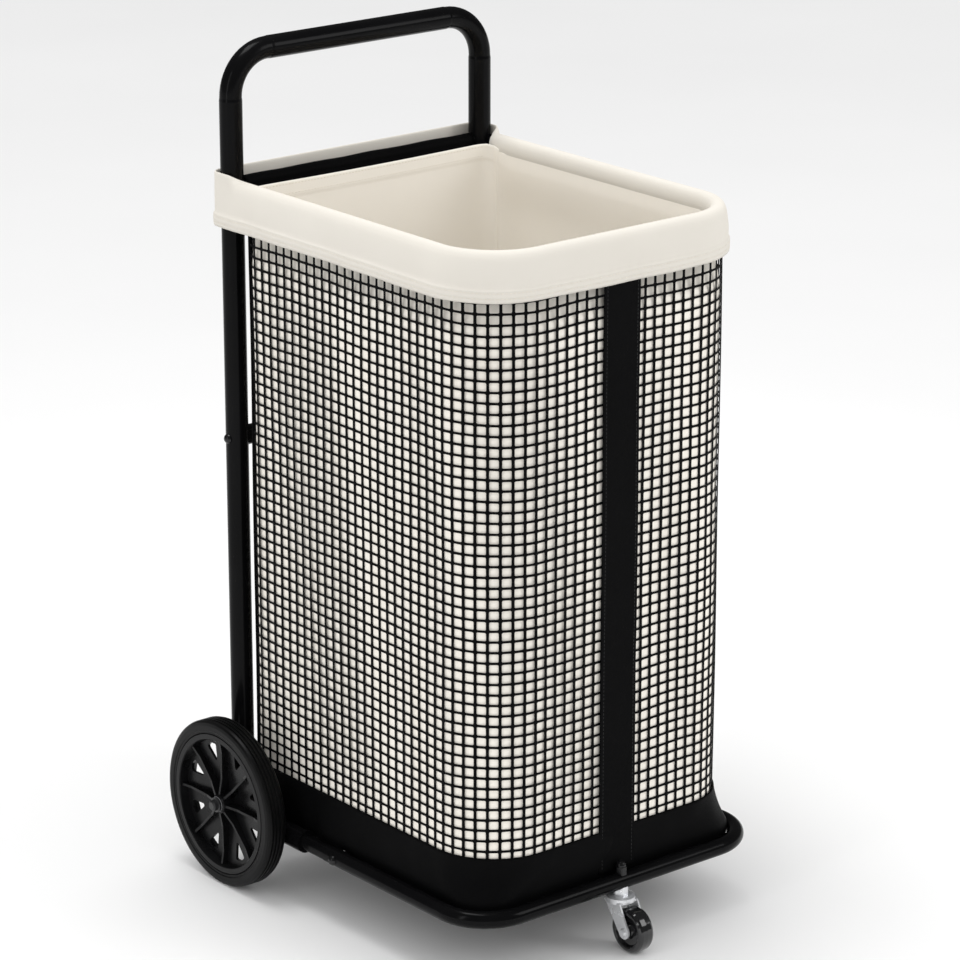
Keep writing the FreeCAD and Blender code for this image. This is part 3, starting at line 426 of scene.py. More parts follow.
GRAIN_DEPTH = 0.3 * MM


def hard_finish(name, dark, light, rough, cloud=9.0, grain=700.0, bump=0.05, scuff=0.3,
                scuff_colour=(0.12, 0.12, 0.12), **shader):
    """Coated, plated or moulded surface: cloudy tone, grain, and light handling marks."""
    material, tree, surface, places = new_finish(name, **shader)
    spot = places.outputs["Object"]
    mottle = use_group(tree, mottle_group, Vector=spot, Cloud_Size=cloud, Grain_Size=grain)
    scuffs = use_group(tree, scuff_group, Vector=spot, Amount=scuff)
    tone = blend_colours(tree, mottle.outputs["Cloud"], colour(*dark), colour(*light))
    tone = blend_colours(tree, scuffs.outputs["Mask"], tone, colour(*scuff_colour))
    tree.links.new(tone, surface.inputs["Base Color"])
    gloss = ranged(tree, mottle.outputs["Cloud"], rough[0], rough[1])
    gloss = maths(tree, "MULTIPLY_ADD", scuffs.outputs["Mask"], 0.25, gloss)
    tree.links.new(gloss, surface.inputs["Roughness"])
    relief = put(tree, "ShaderNodeBump", Strength=bump, Distance=GRAIN_DEPTH, Height=mottle.outputs["Grain"])
    tree.links.new(relief.outputs[0], surface.inputs["Normal"])
    return material


def cloth_finish(name, dark, light, threads, rough=(0.8, 0.95), bump=0.5, bump_depth=0.4 * MM, uneven=0.35,
                 **shader):
    """Woven cloth that follows the sheet's own UV map, with painted shade that darkens the hollows of the weave."""
    material, tree, surface, places = new_finish(name, **shader)
    spot = places.outputs["UV"]
    weave = use_group(tree, weave_group, Vector=spot, Across=threads[0], Along=threads[1], Uneven=uneven)
    mottle = use_group(tree, mottle_group, Vector=spot, Cloud_Size=7.0, Grain_Size=1500.0)
    mask = maths(tree, "MULTIPLY", weave.outputs["Thread"], 0.5)
    mask = maths(tree, "MULTIPLY_ADD", mottle.outputs["Cloud"], 0.35, mask)
    tone = blend_colours(tree, mask, colour(*light), colour(*dark))
    # painted shade: the colour is multiplied down where the weave is low, standing in for shade in its hollows
    shade = ranged(tree, weave.outputs["Height"], 0.90, 1.0)
    tone_with_painted_hollow_shade = blend_colours(tree, 1.0, tone, shade, "MULTIPLY")
    tree.links.new(tone_with_painted_hollow_shade, surface.inputs["Base Color"])
    tree.links.new(ranged(tree, mottle.outputs["Grain"], rough[0], rough[1]), surface.inputs["Roughness"])
    relief = put(tree, "ShaderNodeBump", Strength=bump, Distance=bump_depth, Height=weave.outputs["Height"])
    tree.links.new(relief.outputs[0], surface.inputs["Normal"])
    return material


# ---- finishes ----------------------------------------------------------------------------------
black_powder = hard_finish(
    "black_powder_coat", (0.0020, 0.0020, 0.0022), (0.0042, 0.0042, 0.0046), (0.16, 0.24), grain=900.0, bump=0.08,
    scuff=0.10, Specular_IOR_Level=0.06, Coat_Weight=0.05, Coat_Roughness=0.08)
black_bolt = hard_finish(
    "black_bolt", (0.0035, 0.0035, 0.0038), (0.008, 0.008, 0.009), (0.18, 0.28), scuff=0.35,
    scuff_colour=(0.16, 0.16, 0.165), Specular_IOR_Level=0.4)
bright_zinc = hard_finish(
    "bright_zinc", (0.70, 0.71, 0.73), (0.86, 0.87, 0.89), (0.16, 0.30), cloud=60.0, grain=1600.0, scuff=0.25,
    scuff_colour=(0.45, 0.45, 0.46), Metallic=0.6)
turned_steel = hard_finish(
    "turned_steel", (0.42, 0.42, 0.43), (0.60, 0.60, 0.61), (0.25, 0.42), cloud=40.0, grain=1800.0, scuff=0.4,
    scuff_colour=(0.25, 0.25, 0.25), Metallic=1.0)
tyre_rubber = hard_finish(
    "tyre_rubber", (0.0022, 0.0022, 0.0024), (0.0048, 0.0048, 0.0051), (0.36, 0.52), cloud=18.0, grain=1300.0,
    bump=0.16, scuff=0.30, scuff_colour=(0.015, 0.015, 0.015), Specular_IOR_Level=0.16)
wheel_plastic = hard_finish(
    "wheel_plastic", (0.0030, 0.0030, 0.0033), (0.0065, 0.0065, 0.0070), (0.22, 0.34), cloud=22.0, grain=1500.0,
    bump=0.10, scuff=0.2, Specular_IOR_Level=0.18)
caster_plastic = hard_finish(
    "caster_plastic", (0.005, 0.005, 0.0055), (0.010, 0.010, 0.011), (0.10, 0.18), cloud=30.0, grain=1500.0,
    bump=0.03, scuff=0.25, Coat_Weight=0.5, Coat_Roughness=0.06)
cap_plastic = hard_finish(
    "cap_plastic", (0.008, 0.008, 0.009), (0.016, 0.016, 0.017), (0.30, 0.42), cloud=40.0, scuff=0.2)
bush_plastic = hard_finish(
    "bush_plastic", (0.20, 0.20, 0.21), (0.30, 0.30, 0.31), (0.40, 0.55), cloud=40.0, scuff=0.2)
board_plastic = hard_finish(
    "board_plastic", (0.05, 0.05, 0.052), (0.09, 0.09, 0.094), (0.5, 0.65), cloud=12.0, scuff=0.4)
# The cuff and the liner are one cream cloth in two copies: the liner's copy is painted much lighter, painted light
# against the shade inside the bag, and the cuff's copy a little darker, painted shade against the key light on the
# outside.
cream_canvas = cloth_finish(
    "cream_canvas", (0.690, 0.655, 0.592), (0.752, 0.718, 0.655), (850.0, 900.0), bump=0.30,
    bump_depth=0.25 * MM, Specular_IOR_Level=0.12)
liner_canvas_painted_light = cloth_finish(
    "liner_canvas_painted_light", (0.915, 0.868, 0.785), (0.955, 0.912, 0.835), (850.0, 900.0), bump=0.25,
    bump_depth=0.25 * MM, Specular_IOR_Level=0.12)
cream_thread = hard_finish(
    "cream_thread", (0.68, 0.62, 0.53), (0.80, 0.75, 0.66), (0.75, 0.9), cloud=300.0, grain=2500.0, bump=0.3,
    scuff=0.0)
mesh_yarn = hard_finish(
    "mesh_yarn", (0.0020, 0.0020, 0.0022), (0.0050, 0.0050, 0.0054), (0.46, 0.62), cloud=40.0, grain=1800.0,
    bump=0.25, scuff=0.0, Specular_IOR_Level=0.04)
band_cloth = cloth_finish(
    "band_cloth", (0.0016, 0.0016, 0.0018), (0.0038, 0.0038, 0.0041), (1300.0, 1300.0), rough=(0.45, 0.62),
    bump=0.35, bump_depth=0.2 * MM, Specular_IOR_Level=0.04)
strap_webbing = cloth_finish(
    "strap_webbing", (0.0018, 0.0018, 0.0020), (0.0042, 0.0042, 0.0045), (420.0, 640.0), rough=(0.55, 0.75),
    bump=0.6, uneven=0.12, Specular_IOR_Level=0.04)
black_thread = hard_finish(
    "black_thread", (0.012, 0.012, 0.013), (0.03, 0.03, 0.031), (0.5, 0.65), cloud=300.0, grain=2500.0, bump=0.3,
    scuff=0.0)

SLOT_FINISH = {
    "powder_coat_black": black_powder, "zinc": bright_zinc, "bolt_black": black_bolt, "axle_steel": turned_steel,
    "tyre_rubber": tyre_rubber, "wheel_plastic": wheel_plastic, "caster_plastic": caster_plastic,
    "cap_plastic": cap_plastic, "bush_plastic": bush_plastic, "canvas_cream": cream_canvas, "mesh_black": mesh_yarn,
    "band_black": band_cloth, "strap_black": strap_webbing, "board_plastic": board_plastic,
}


def dress_frame():
    """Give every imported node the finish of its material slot."""
    slots = {row["node"]: row["material_slot"] for row in frame["record"]["subparts"]}
    for name, piece in frame["nodes"].items():
        finish = SLOT_FINISH[slots[name]]
        if not piece.data.materials:
            piece.data.materials.append(finish)
        for i in range(len(piece.data.materials)):
            piece.data.materials[i] = finish


dress_frame()


def settle(piece, finish):
    """Finish, slot and body of a piece of the bag."""
    piece.data.materials.clear()
    piece.data.materials.append(finish)
    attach(piece, "frame")


# ---- mesh walls --------------------------------------------------------------------------------
MESH_BOTTOM = bag_low[2] - 3 * MM
MESH_TOP = bag_high[2] - 1 * MM
COLUMN_PITCH = 13.2 * MM
ROW_PITCH = 11.6 * MM
COLUMNS = round(BAG_GIRTH / COLUMN_PITCH)
ROWS = round((MESH_TOP - MESH_BOTTOM) / ROW_PITCH)
UPRIGHT_STRAND = 3.2 * MM
LEVEL_STRAND = 2.5 * MM
HOLE_CORNER = 0.9 * MM
UNEVEN_HOLE = 0.3 * MM


def mesh_sway(s, z):
    """How far the knitted wall stands out or hangs in."""
    free = math.sin(math.pi * (z - MESH_BOTTOM) / (MESH_TOP - MESH_BOTTOM))
    return free * (0.7 * wave(s, BAG_GIRTH, 5, 0.6) + 0.5 * wave(s, BAG_GIRTH, 11, z * 14)) * MM


def mesh_sag(s, z):
    """How far the rows of the knit run off level."""
    low = wave(s, BAG_GIRTH, 7, 1.1 + z * 6) + 0.6 * wave(s, BAG_GIRTH, 17, z * 21)
    return 0.55 * low * MM


def mesh_place(s, z, lift):
    """Point of the knit, lift outwards from its back."""
    edge = smooth(z, MESH_BOTTOM, MESH_BOTTOM + 0.03) * (1 - smooth(z, MESH_TOP - 0.03, MESH_TOP))
    return bag_point(s, 1.2 * MM - lift - mesh_sway(s, z), z + mesh_sag(s, z) * edge)


def jitter(i, j, seed):
    """Small repeatable unevenness from -1 to 1."""
    return math.sin(i * 12.9898 + j * 78.233 + seed * 37.719) * math.cos(i * 4.898 + j * 7.23 + seed)


def make_mesh_panel(name, first, last):
    """Part of the open knit between two columns: round-cornered holes between crowned strands."""
    pitch_s = BAG_GIRTH / COLUMNS
    pitch_z = (MESH_TOP - MESH_BOTTOM) / ROWS
    count = last - first + 1
    verts = []
    for lift in (1.0 * MM, 0.0):
        for j in range(ROWS + 1):
            for i in range(count):
                s = (first + i) * pitch_s
                verts.append(mesh_place(s, MESH_BOTTOM + j * pitch_z, lift))
    back = (ROWS + 1) * count
    faces = []
    for j in range(ROWS):
        for i in range(count - 1):
            column = first + i
            s = (column + 0.5) * pitch_s
            z = MESH_BOTTOM + (j + 0.5) * pitch_z
            half_s = (pitch_s - UPRIGHT_STRAND + UNEVEN_HOLE * jitter(column, j, 1)) / 2
            half_z = (pitch_z - LEVEL_STRAND + UNEVEN_HOLE * jitter(column, j, 2)) / 2
            flat_s, flat_z = half_s - HOLE_CORNER, half_z - HOLE_CORNER
            ring = [
                (-half_s, -flat_z), (-flat_s, -half_z), (flat_s, -half_z), (half_s, -flat_z),
                (half_s, flat_z), (flat_s, half_z), (-flat_s, half_z), (-half_s, flat_z),
            ]
            base = len(verts)
            for lift in (0.6 * MM, 0.1 * MM):
                verts += [mesh_place(s + ds, z + dz, lift) for ds, dz in ring]
            corners = [j * count + i, j * count + i + 1, (j + 1) * count + i + 1, (j + 1) * count + i]
            for side in range(4):
                here, there = corners[side], corners[(side + 1) % 4]
                a = base + (2 * side + 1) % 8
                b = base + (2 * side + 2) % 8
                c = base + (2 * side + 3) % 8
                faces += [(here, there, b, a), (there, c, b)]
                faces += [(there + back, here + back, a + 8, b + 8), (c + 8, there + back, b + 8)]
            for k in range(8):
                n = (k + 1) % 8
                faces.append((base + k, base + n, base + 8 + n, base + 8 + k))
    edges = [(i, i + 1) for i in range(count - 1)]
    top = ROWS * count
    faces += [(a, a + back, b + back, b) for a, b in edges]
    faces += [(top + b, top + b + back, top + a + back, top + a) for a, b in edges]
    for j in range(ROWS):
        a, b = j * count, (j + 1) * count
        faces.append((b, b + back, a + back, a))
        a, b = a + count - 1, b + count - 1
        faces.append((a, a + back, b + back, b))
    piece = new_object(name, verts, faces)
    only(piece)
    bpy.ops.object.shade_smooth_by_angle(angle=math.radians(62))
    return piece


def make_mesh_walls():
    """The four lengths of knit round the bag."""
    marks = [0, COLUMNS // 4, COLUMNS // 2, (3 * COLUMNS) // 4, COLUMNS]
    names = ["mesh_rear_left", "mesh_front_left", "mesh_front_right", "mesh_rear_right"]
    for name, first, last in zip(names, marks[:-1], marks[1:]):
        panel = make_mesh_panel(name, first, last)
        settle(panel, mesh_yarn)
    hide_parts("mesh_shell")


# ---- liner ---------------------------------------------------------------------------------------
LINER_TOP = bag_high[2]
LINER_FLOOR = 92.6 * MM
REAR_LEFT_SEAM = (plan_mark(bag_plan, 1) + plan_mark(bag_plan, 2)) / 2
REAR_RIGHT_SEAM = BAG_GIRTH - REAR_LEFT_SEAM
LINER_SEAMS = (REAR_LEFT_SEAM, REAR_RIGHT_SEAM)
LINER_REAR_HALF = plan_mark(bag_plan, 1)


def behind(s):
    """1 at the back panel of the bag, 0 at its sides and front."""
    away = min(s % BAG_GIRTH, BAG_GIRTH - s % BAG_GIRTH)
    return 1 - smooth(away, LINER_REAR_HALF + 12 * MM, LINER_REAR_HALF + 48 * MM)


def behind_strap(s):
    """1 where the front stay stands between the mesh and the liner."""
    away = abs(s - BAG_GIRTH / 2)
    return 1 - smooth(away, 10 * MM, 22 * MM)


def liner_inset(s, z):
    """How far the liner stands in from the bag's outer face."""
    inset = 2.2 * MM + 3.3 * MM * behind_strap(s)
    under_rim = smooth(z, LINER_TOP - 78 * MM, LINER_TOP - 10 * MM)
    inset += under_rim * 11.7 * MM * (1 - behind(s))
    free = smooth(z, 0.10, 0.20) * (1 - smooth(z, 0.66, 0.75))
    sway = 0.8 * wave(s, BAG_GIRTH, 4, 2.0 + 3 * z) + 0.5 * wave(s, BAG_GIRTH, 9, 5 * z)
    sway += 0.35 * wave(s, BAG_GIRTH, 19, 11 * z)
    inset += max(0.0, free * (0.7 + 0.6 * sway)) * MM - mesh_sway(s, z) * free
    for seam in LINER_SEAMS:
        near = abs(s - seam) / (1.6 * MM)
        inset += 1.3 * MM * math.exp(-near * near)
    hem = smooth(z, LINER_TOP - 17 * MM, LINER_TOP - 15.5 * MM) * behind(s)
    return inset + hem * 0.8 * MM


def back_rise(s, z):
    """How far the liner's back panel stands up towards the bar it hangs from."""
    away = min(s % BAG_GIRTH, BAG_GIRTH - s % BAG_GIRTH)
    level = math.cos(math.pi * min(1, away / LINER_REAR_HALF) / 2)
    return (8.5 - 1.2 * level) * MM * behind(s) * smooth(z, LINER_TOP - 70 * MM, LINER_TOP)


def make_liner():
    """Liner walls down to a soft turn, then the floor."""
    ridges = [m + d * MM for m in LINER_SEAMS for d in (-5, -3, -1.6, -0.8, 0, 0.8, 1.6, 3, 5)]
    across = spaced(0, BAG_GIRTH, 9 * MM, ridges)[:-1]
    hem_z = [LINER_TOP - d * MM for d in (2, 4, 8, 14, 15.5, 17, 19)]
    wall_z = spaced(LINER_FLOOR + 9 * MM, LINER_TOP, 17 * MM, hem_z)[::-1]
    turn = [(1.2, 5.0), (3.0, 2.4), (6.5, 0.7), (11.0, 0.0)]
    floor_steps = [0.97, 0.9, 0.8, 0.68, 0.54, 0.4, 0.26, 0.13, 0.0]
    rows = [("wall", z) for z in wall_z] + [("turn", t) for t in turn] + [("floor", f) for f in floor_steps]
    centre = Vector((0, (bag_low[1] + bag_high[1]) / 2, 0))

    def place(s, row):
        kind, value = row
        if kind == "wall":
            return bag_point(s, liner_inset(s, value), value + back_rise(s, value))
        low_inset = liner_inset(s, LINER_FLOOR + 9 * MM)
        if kind == "turn":
            return bag_point(s, low_inset + value[0] * MM, LINER_FLOOR + value[1] * MM)
        edge = bag_point(s, low_inset + 11 * MM, LINER_FLOOR)
        spot = centre + (edge - centre) * value
        ease = value * (1 - value) * 4
        crease = ease * (0.35 * math.sin(spot.x * 31 + 1) * math.sin(spot.y * 23)
                         + 0.25 * math.sin(spot.x * 70 + spot.y * 52))
        return Vector((spot.x, spot.y, LINER_FLOOR + 0.35 * MM * ease + crease * MM))

    piece = cloth_grid("liner_cloth", across, rows, place, closed=True)
    merge_points(piece)
    thicken(piece, 1.1 * MM, 0.0)
    # the liner takes the lighter copy of the cloth, painted light against the shade inside the bag
    settle(piece, liner_canvas_painted_light)
    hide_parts("liner")


# ---- cuff ------------------------------------------------------------------------------------------
CUFF_BOTTOM = cuff_low[2] + 8.0 * MM
CUFF_SPLIT_Y = 148 * MM + Y_SHIFT
CUFF_STITCH_ROWS = (3, 6)
CUFF_TURN_ROW = 18        # from here on the cuff turns inwards over the rim and lies still
CUFF_PROFILE = [
    # set in over the rim, height over the rim, set in on the rear strip, height on the rear strip
    (0.3, 0.6, 0.3, 0.6),
    (-0.9, 0.0, -0.9, 0.0),
    (-1.5, 3.4, -1.5, 3.4),
    (-0.8, 4.8, -0.8, 4.8),
    (-1.5, 6.2, -1.5, 6.2),
    (-1.6, 9.0, -1.6, 9.0),
    (-0.9, 10.6, -0.9, 10.6),
    (-1.4, 12.2, -1.4, 12.2),
    (-0.7, 13.8, -0.7, 13.8),
    (0.2, 14.8, 0.2, 14.8),
    (0.3, 18.0, 0.3, 18.0),
    (0.2, 23.0, 0.3, 24.0),
    (0.3, 29.0, 0.4, 31.5),
    (0.7, 35.5, 0.6, 39.0),
    (1.3, 40.8, 0.8, 47.5),
    (2.2, 45.1, 0.8, 53.9),
    (3.9, 48.9, 0.9, 56.5),
    (6.4, 51.3, 1.3, 57.8),
    (9.6, 52.2, 2.0, 58.3),
    (12.8, 52.1, 2.7, 57.9),
    (15.8, 51.0, 3.1, 56.7),
    (18.2, 48.6, 3.2, 53.9),
    (19.6, 45.0, 3.2, 50.9),
    (20.3, 40.9, 3.2, 47.9),
    (20.2, 35.9, 3.2, 44.9),
    (18.6, 31.4, 3.2, 42.0),
    (17.2, 27.5, 3.2, 39.0),
]


def over_rim(s):
    """1 where the cuff folds over the rim, 0 on the strip behind the uprights."""
    place, _ = plan_at(cuff_plan, s)
    return 1 - smooth(place.y, CUFF_SPLIT_Y, CUFF_SPLIT_Y + 9 * MM)


def cuff_flutter(s, rise):
    """Softness of the cuff: it hangs unevenly and puckers at its hem."""
    hang = 1 - smooth(rise, 18 * MM, 45 * MM)
    slow = 0.55 * wave(s, CUFF_GIRTH, 6, 0.4) + 0.45 * wave(s, CUFF_GIRTH, 13, 2.2)
    slow += 0.3 * wave(s, CUFF_GIRTH, 23, rise * 40)
    pucker = 0.16 * wave(s, CUFF_GIRTH, 121, 0.3) * (1 - smooth(rise, 14 * MM, 22 * MM))
    return (hang * (0.9 + slow) + pucker) * MM


def cuff_place(s, row):
    """Point of the cuff's face; row counts from its hem, over the rim, to its inner edge."""
    in_rim, up_rim, in_strip, up_strip = CUFF_PROFILE[row]
    k = over_rim(s)
    inset = (in_rim * k + in_strip * (1 - k)) * MM
    rise = (up_rim * k + up_strip * (1 - k)) * MM
    level = 0.5 * wave(s, CUFF_GIRTH, 5, 1.0) + 0.35 * wave(s, CUFF_GIRTH, 14, 0.2)
    lift = level * MM * (1 - smooth(rise, 0.0, 40 * MM))
    inset -= cuff_flutter(s, rise) * (1 if row < CUFF_TURN_ROW else 0)
    return cuff_point(s, inset, CUFF_BOTTOM + rise + lift)


def make_cuff():
    """Cuff that is folded down over the rim, with its stitched hem."""
    across = spaced(0, CUFF_GIRTH, 3.2 * MM)[:-1]
    piece = cloth_grid("cuff_cloth", across, list(range(len(CUFF_PROFILE))), cuff_place, closed=True)
    thicken(piece, 1.0 * MM, -1.0)
    settle(piece, cream_canvas)
    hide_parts("liner_cuff")
    rows = []
    for number, row in enumerate(CUFF_STITCH_ROWS):
        line = []
        for s in spaced(0, CUFF_GIRTH, 6 * MM):
            spot = cuff_place(s, row)
            _, out = plan_at(cuff_plan, s)
            line.append((spot + Vector((out.x, out.y, 0)) * 0.12 * MM, Vector((out.x, out.y, 0))))
        rows.append(stitch_row(f"cuff_stitches_{number + 1}", line))
        settle(rows[-1], cream_thread)


def make_liner_stitches():
    """Two rows of stitches in the hem of the liner's back panel."""
    for number, drop in enumerate((3.2, 13.0)):
        line = []
        for s in spaced(-LINER_REAR_HALF - 10 * MM, LINER_REAR_HALF + 10 * MM, 6 * MM):
            z = LINER_TOP - drop * MM
            turn = s % BAG_GIRTH
            spot = bag_point(turn, liner_inset(turn, z) + 0.65 * MM, z + back_rise(turn, z))
            _, out = plan_at(bag_plan, turn)
            line.append((spot, Vector((-out.x, -out.y, 0))))
        row = stitch_row(f"liner_stitches_{number + 1}", line)
        settle(row, cream_thread)


# ---- closed band at the foot ----------------------------------------------------------------------
BAND_TOP = bag_low[2] + 0.5 * MM
BAND_FLOOR = band_low[2] + 0.3 * MM
SKIRT_FOOT = BAND_FLOOR - 9.5 * MM
base_low, base_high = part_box("front_base_tube")
BASE_TUBE_OD = 19 * MM
BASE_CORNER_R = 55 * MM
LEG_OD = 25 * MM
SKIRT_GAP = 0.5 * MM
SKIRT_INSET = BASE_TUBE_OD + SKIRT_GAP
skirt_plan = make_plan(
    base_high[0] - SKIRT_INSET, base_low[1] + SKIRT_INSET, bag_high[1],
    BASE_CORNER_R - BASE_TUBE_OD / 2 - SKIRT_GAP, BAG_REAR_R,
)
nut_low, nut_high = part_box("base_nuts")
cross_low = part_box("base_cross_tube")[0]
leg_low, leg_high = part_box("rear_base_tube")
SKIRT_BACK_Y = cross_low[1] - 3 * MM
LEG_INSIDE = leg_high[0] - LEG_OD - 0.6 * MM
NUT_Y = (nut_low[1] + nut_high[1]) / 2


def skirt_place(s):
    """Point under a place on the bag's outline, beside the inside of the base tube."""
    left = s % BAG_GIRTH
    for index, length in enumerate(bag_plan[1]):
        if left <= length:
            break
        left -= length
    share = left / bag_plan[1][index]
    place, _ = plan_at(skirt_plan, plan_mark(skirt_plan, index) + share * skirt_plan[1][index] * 0.99999)
    narrow = smooth(place.y, leg_low[1] - 16 * MM, leg_low[1] - 4 * MM)
    reach = min(abs(place.x), LEG_INSIDE + (abs(place.x) - LEG_INSIDE) * (1 - narrow))
    return Vector((math.copysign(reach, place.x), place.y))


def over_nut(foot):
    """How far the skirt's foot lifts to clear the two nuts inside the base tube."""
    away = (foot.y - NUT_Y) / (8 * MM)
    beside = smooth(abs(foot.x), LEG_INSIDE - 20 * MM, LEG_INSIDE - 6 * MM)
    return 5.4 * MM * min(1.0, 1.6 * math.exp(-away * away)) * beside


def make_band():
    """Coated cloth band and floor at the foot of the bag."""
    wall = [(0.5, BAND_TOP - 1.2 * MM, 0), (-0.2, BAND_TOP, 0), (-0.6, BAND_TOP - 0.8 * MM, 0)]
    spread = [(3, 0.0), (8, 0.02), (14, 0.08), (21, 0.2), (28, 0.38), (34, 0.58), (39, 0.78), (43, 0.92)]
    wall += [(-0.5, BAND_TOP - h * MM, k) for h, k in spread]
    wall += [(0.4, BAND_FLOOR - 1.0 * MM, 1.0), (0.4, BAND_FLOOR - 5.0 * MM, 1.0), (0.6, SKIRT_FOOT, 1.0)]
    wall += [(2.4, SKIRT_FOOT + 0.6 * MM, 1.0), (4.2, BAND_FLOOR - 2.0 * MM, 0.9)]
    wall += [(8.0, BAND_FLOOR, 0.5), (12.0, BAND_FLOOR, 0)]
    floor_steps = [0.9, 0.75, 0.55, 0.35, 0.15, 0.0]
    rows = [("wall", w) for w in wall] + [("floor", f) for f in floor_steps]
    centre = Vector((0, (bag_low[1] + bag_high[1]) / 2, BAND_FLOOR))

    def place(s, row):
        kind, value = row
        if kind == "wall":
            inset, z, reach = value
            depth = (BAND_TOP - z) / (BAND_TOP - BAND_FLOOR)
            full = math.sin(math.pi * min(1, max(0, depth)))
            slack = 0.7 + 0.6 * wave(s, BAG_GIRTH, 7, 0.5) + 0.5 * wave(s, BAG_GIRTH, 16, 2.0 + 3 * depth)
            fold = 0.35 * wave(s, BAG_GIRTH, 37, 4 * depth)
            spot = bag_point(s, (inset - full * (slack + fold)) * MM, z)
            foot = skirt_place(s)
            ahead = 1 - smooth(foot.y, SKIRT_BACK_Y - 14 * MM, SKIRT_BACK_Y)
            under = bag_point(s, 0.0, z)
            spot += Vector((foot.x - under.x, foot.y - under.y, 0)) * reach * ahead
            if z < BAND_FLOOR:
                z = min(BAND_FLOOR, z + over_nut(foot))
            low = BAND_FLOOR + (0.5 if inset < 1 else 0.2) * MM
            spot.z = z * ahead + max(z, low) * (1 - ahead)
            return spot
        edge = bag_point(s, 12 * MM, BAND_FLOOR)
        return centre + (edge - centre) * value

    across = spaced(0, BAG_GIRTH, 6 * MM)[:-1]
    piece = cloth_grid("band_cloth_wrap", across, rows, place, closed=True)
    merge_points(piece)
    thicken(piece, 0.9 * MM, -1.0)
    settle(piece, band_cloth)
    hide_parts("base_band")
    line = []
    for s in spaced(0, BAG_GIRTH, 6 * MM):
        _, out = plan_at(bag_plan, s)
        face = Vector((out.x, out.y, 0))
        line.append((bag_point(s, -0.95 * MM, BAND_TOP - 4.2 * MM), face))
    row = stitch_row("band_stitches", line, width=0.6 * MM)
    settle(row, black_thread)


def make_bindings():
    """Tape over the two upright seams at the back corners of the bag."""
    for name, seam in (("binding_left", REAR_LEFT_SEAM), ("binding_right", REAR_RIGHT_SEAM)):
        across = [seam + d * MM for d in (-11, -10.2, -7, -3.5, 0, 3.5, 7, 10.2, 11)]
        heights = spaced(BAND_TOP - 6 * MM, MESH_TOP - 8 * MM, 20 * MM)

        def place(s, z, seam=seam):
            edge = abs(s - seam) > 10.5 * MM
            return bag_point(s, (-1.2 + (1.0 if edge else 0)) * MM - mesh_sway(s, z), z)

        piece = cloth_grid(name, across, heights, place)
        thicken(piece, 0.8 * MM, -1.0)
        settle(piece, strap_webbing)


# ---- strap down the front -----------------------------------------------------------------------------
STRAP_STITCH_X = 20.6 * MM

def make_strap():
    """Webbing strap sewn down the front, tucked under the bag's floor."""
    half = strap_high[0]
    face = strap_low[1]
    across = [x * MM for x in (-24.5, -24.1, -22.8, -19, -12, -5, 0, 5, 12, 19, 22.8, 24.1, 24.5)]
    tuck = [(6.0, -1.4), (3.0, -1.3), (1.2, -0.6)]
    rows = [("tuck", t) for t in tuck]
    rows += [("face", z) for z in spaced(strap_low[2] + 1.5 * MM, strap_high[2], 14 * MM)]

    def place(x, row):
        kind, value = row
        edge = smooth(abs(x), half - 2.2 * MM, half) * 0.55 * MM
        if kind == "tuck":
            return Vector((x, face + value[0] * MM + edge, strap_low[2] + value[1] * MM))
        z = value
        bulge = 0.35 * MM * math.sin(z * 23 + x * 30) + 0.2 * MM * math.sin(z * 61 + 1.4)
        stitch = 0.3 * MM * math.exp(-((abs(x) - STRAP_STITCH_X) / (1.3 * MM)) ** 2)
        return Vector((x + 0.25 * MM * math.sin(z * 17), face + edge + stitch + max(0, bulge) * 0.8, z))

    piece = cloth_grid("strap_webbing_front", across, rows, place)
    thicken(piece, 1.3 * MM, -1.0)
    settle(piece, strap_webbing)
    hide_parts("front_strap")
    for name, x in (("strap_stitches_left", -STRAP_STITCH_X), ("strap_stitches_right", STRAP_STITCH_X)):
        line = []
        for z in spaced(strap_low[2] + 4 * MM, strap_high[2] - 3 * MM, 14 * MM):
            spot = place(x, ("face", z))
            line.append((spot + Vector((0, -0.15 * MM, 0)), Vector((0, -1, 0))))
        row = stitch_row(name, line, width=0.7 * MM)
        settle(row, black_thread)


# ---- sleeve over the rear rim bar ------------------------------------------------------------------------

def make_sleeve():
    """Top of the bag's back panel: it runs up from the bag, round the bar and back down."""
    bar_y = (sleeve_low[1] + sleeve_high[1]) / 2
    bar_z = (sleeve_low[2] + sleeve_high[2]) / 2
    half = sleeve_high[0]
    back_y = bag_high[1]
    tail = [(back_y + out * MM, bar_z - drop * MM)
            for out, drop in ((1.6, 46), (1.8, 34), (3.0, 22), (6.4, 12.5))]
    loop = []
    for angle in range(205, -140, -23):
        out = direction(angle)
        loop.append((bar_y + out.x * 7.6 * MM, bar_z + out.y * 7.6 * MM))
    ends = [(back_y + out * MM, bar_z - drop * MM) for out, drop in ((8.0, 13.0), (4.4, 22.5), (3.0, 34))]
    rows = tail + loop + ends
    across = spaced(-half, half, 5 * MM)

    def place(x, row):
        y, z = row
        slack = smooth(bar_z - z, 2 * MM, 20 * MM)
        pucker = 0.25 * math.sin(x * 420) + 0.5 * math.sin(x * 57 + 0.6) + 0.35 * math.sin(x * 131)
        return Vector((x, y + pucker * MM * (0.35 + 0.5 * slack), z + 0.3 * MM * math.sin(x * 80)))

    piece = cloth_grid("sleeve_cloth", across, rows, place)
    thicken(piece, 0.7 * MM, -1.0)
    settle(piece, band_cloth)
    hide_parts("hem_sleeve")


# ---- floor, light and camera ---------------------------------------------------------------------------------
FLOOR_SIZE = 40

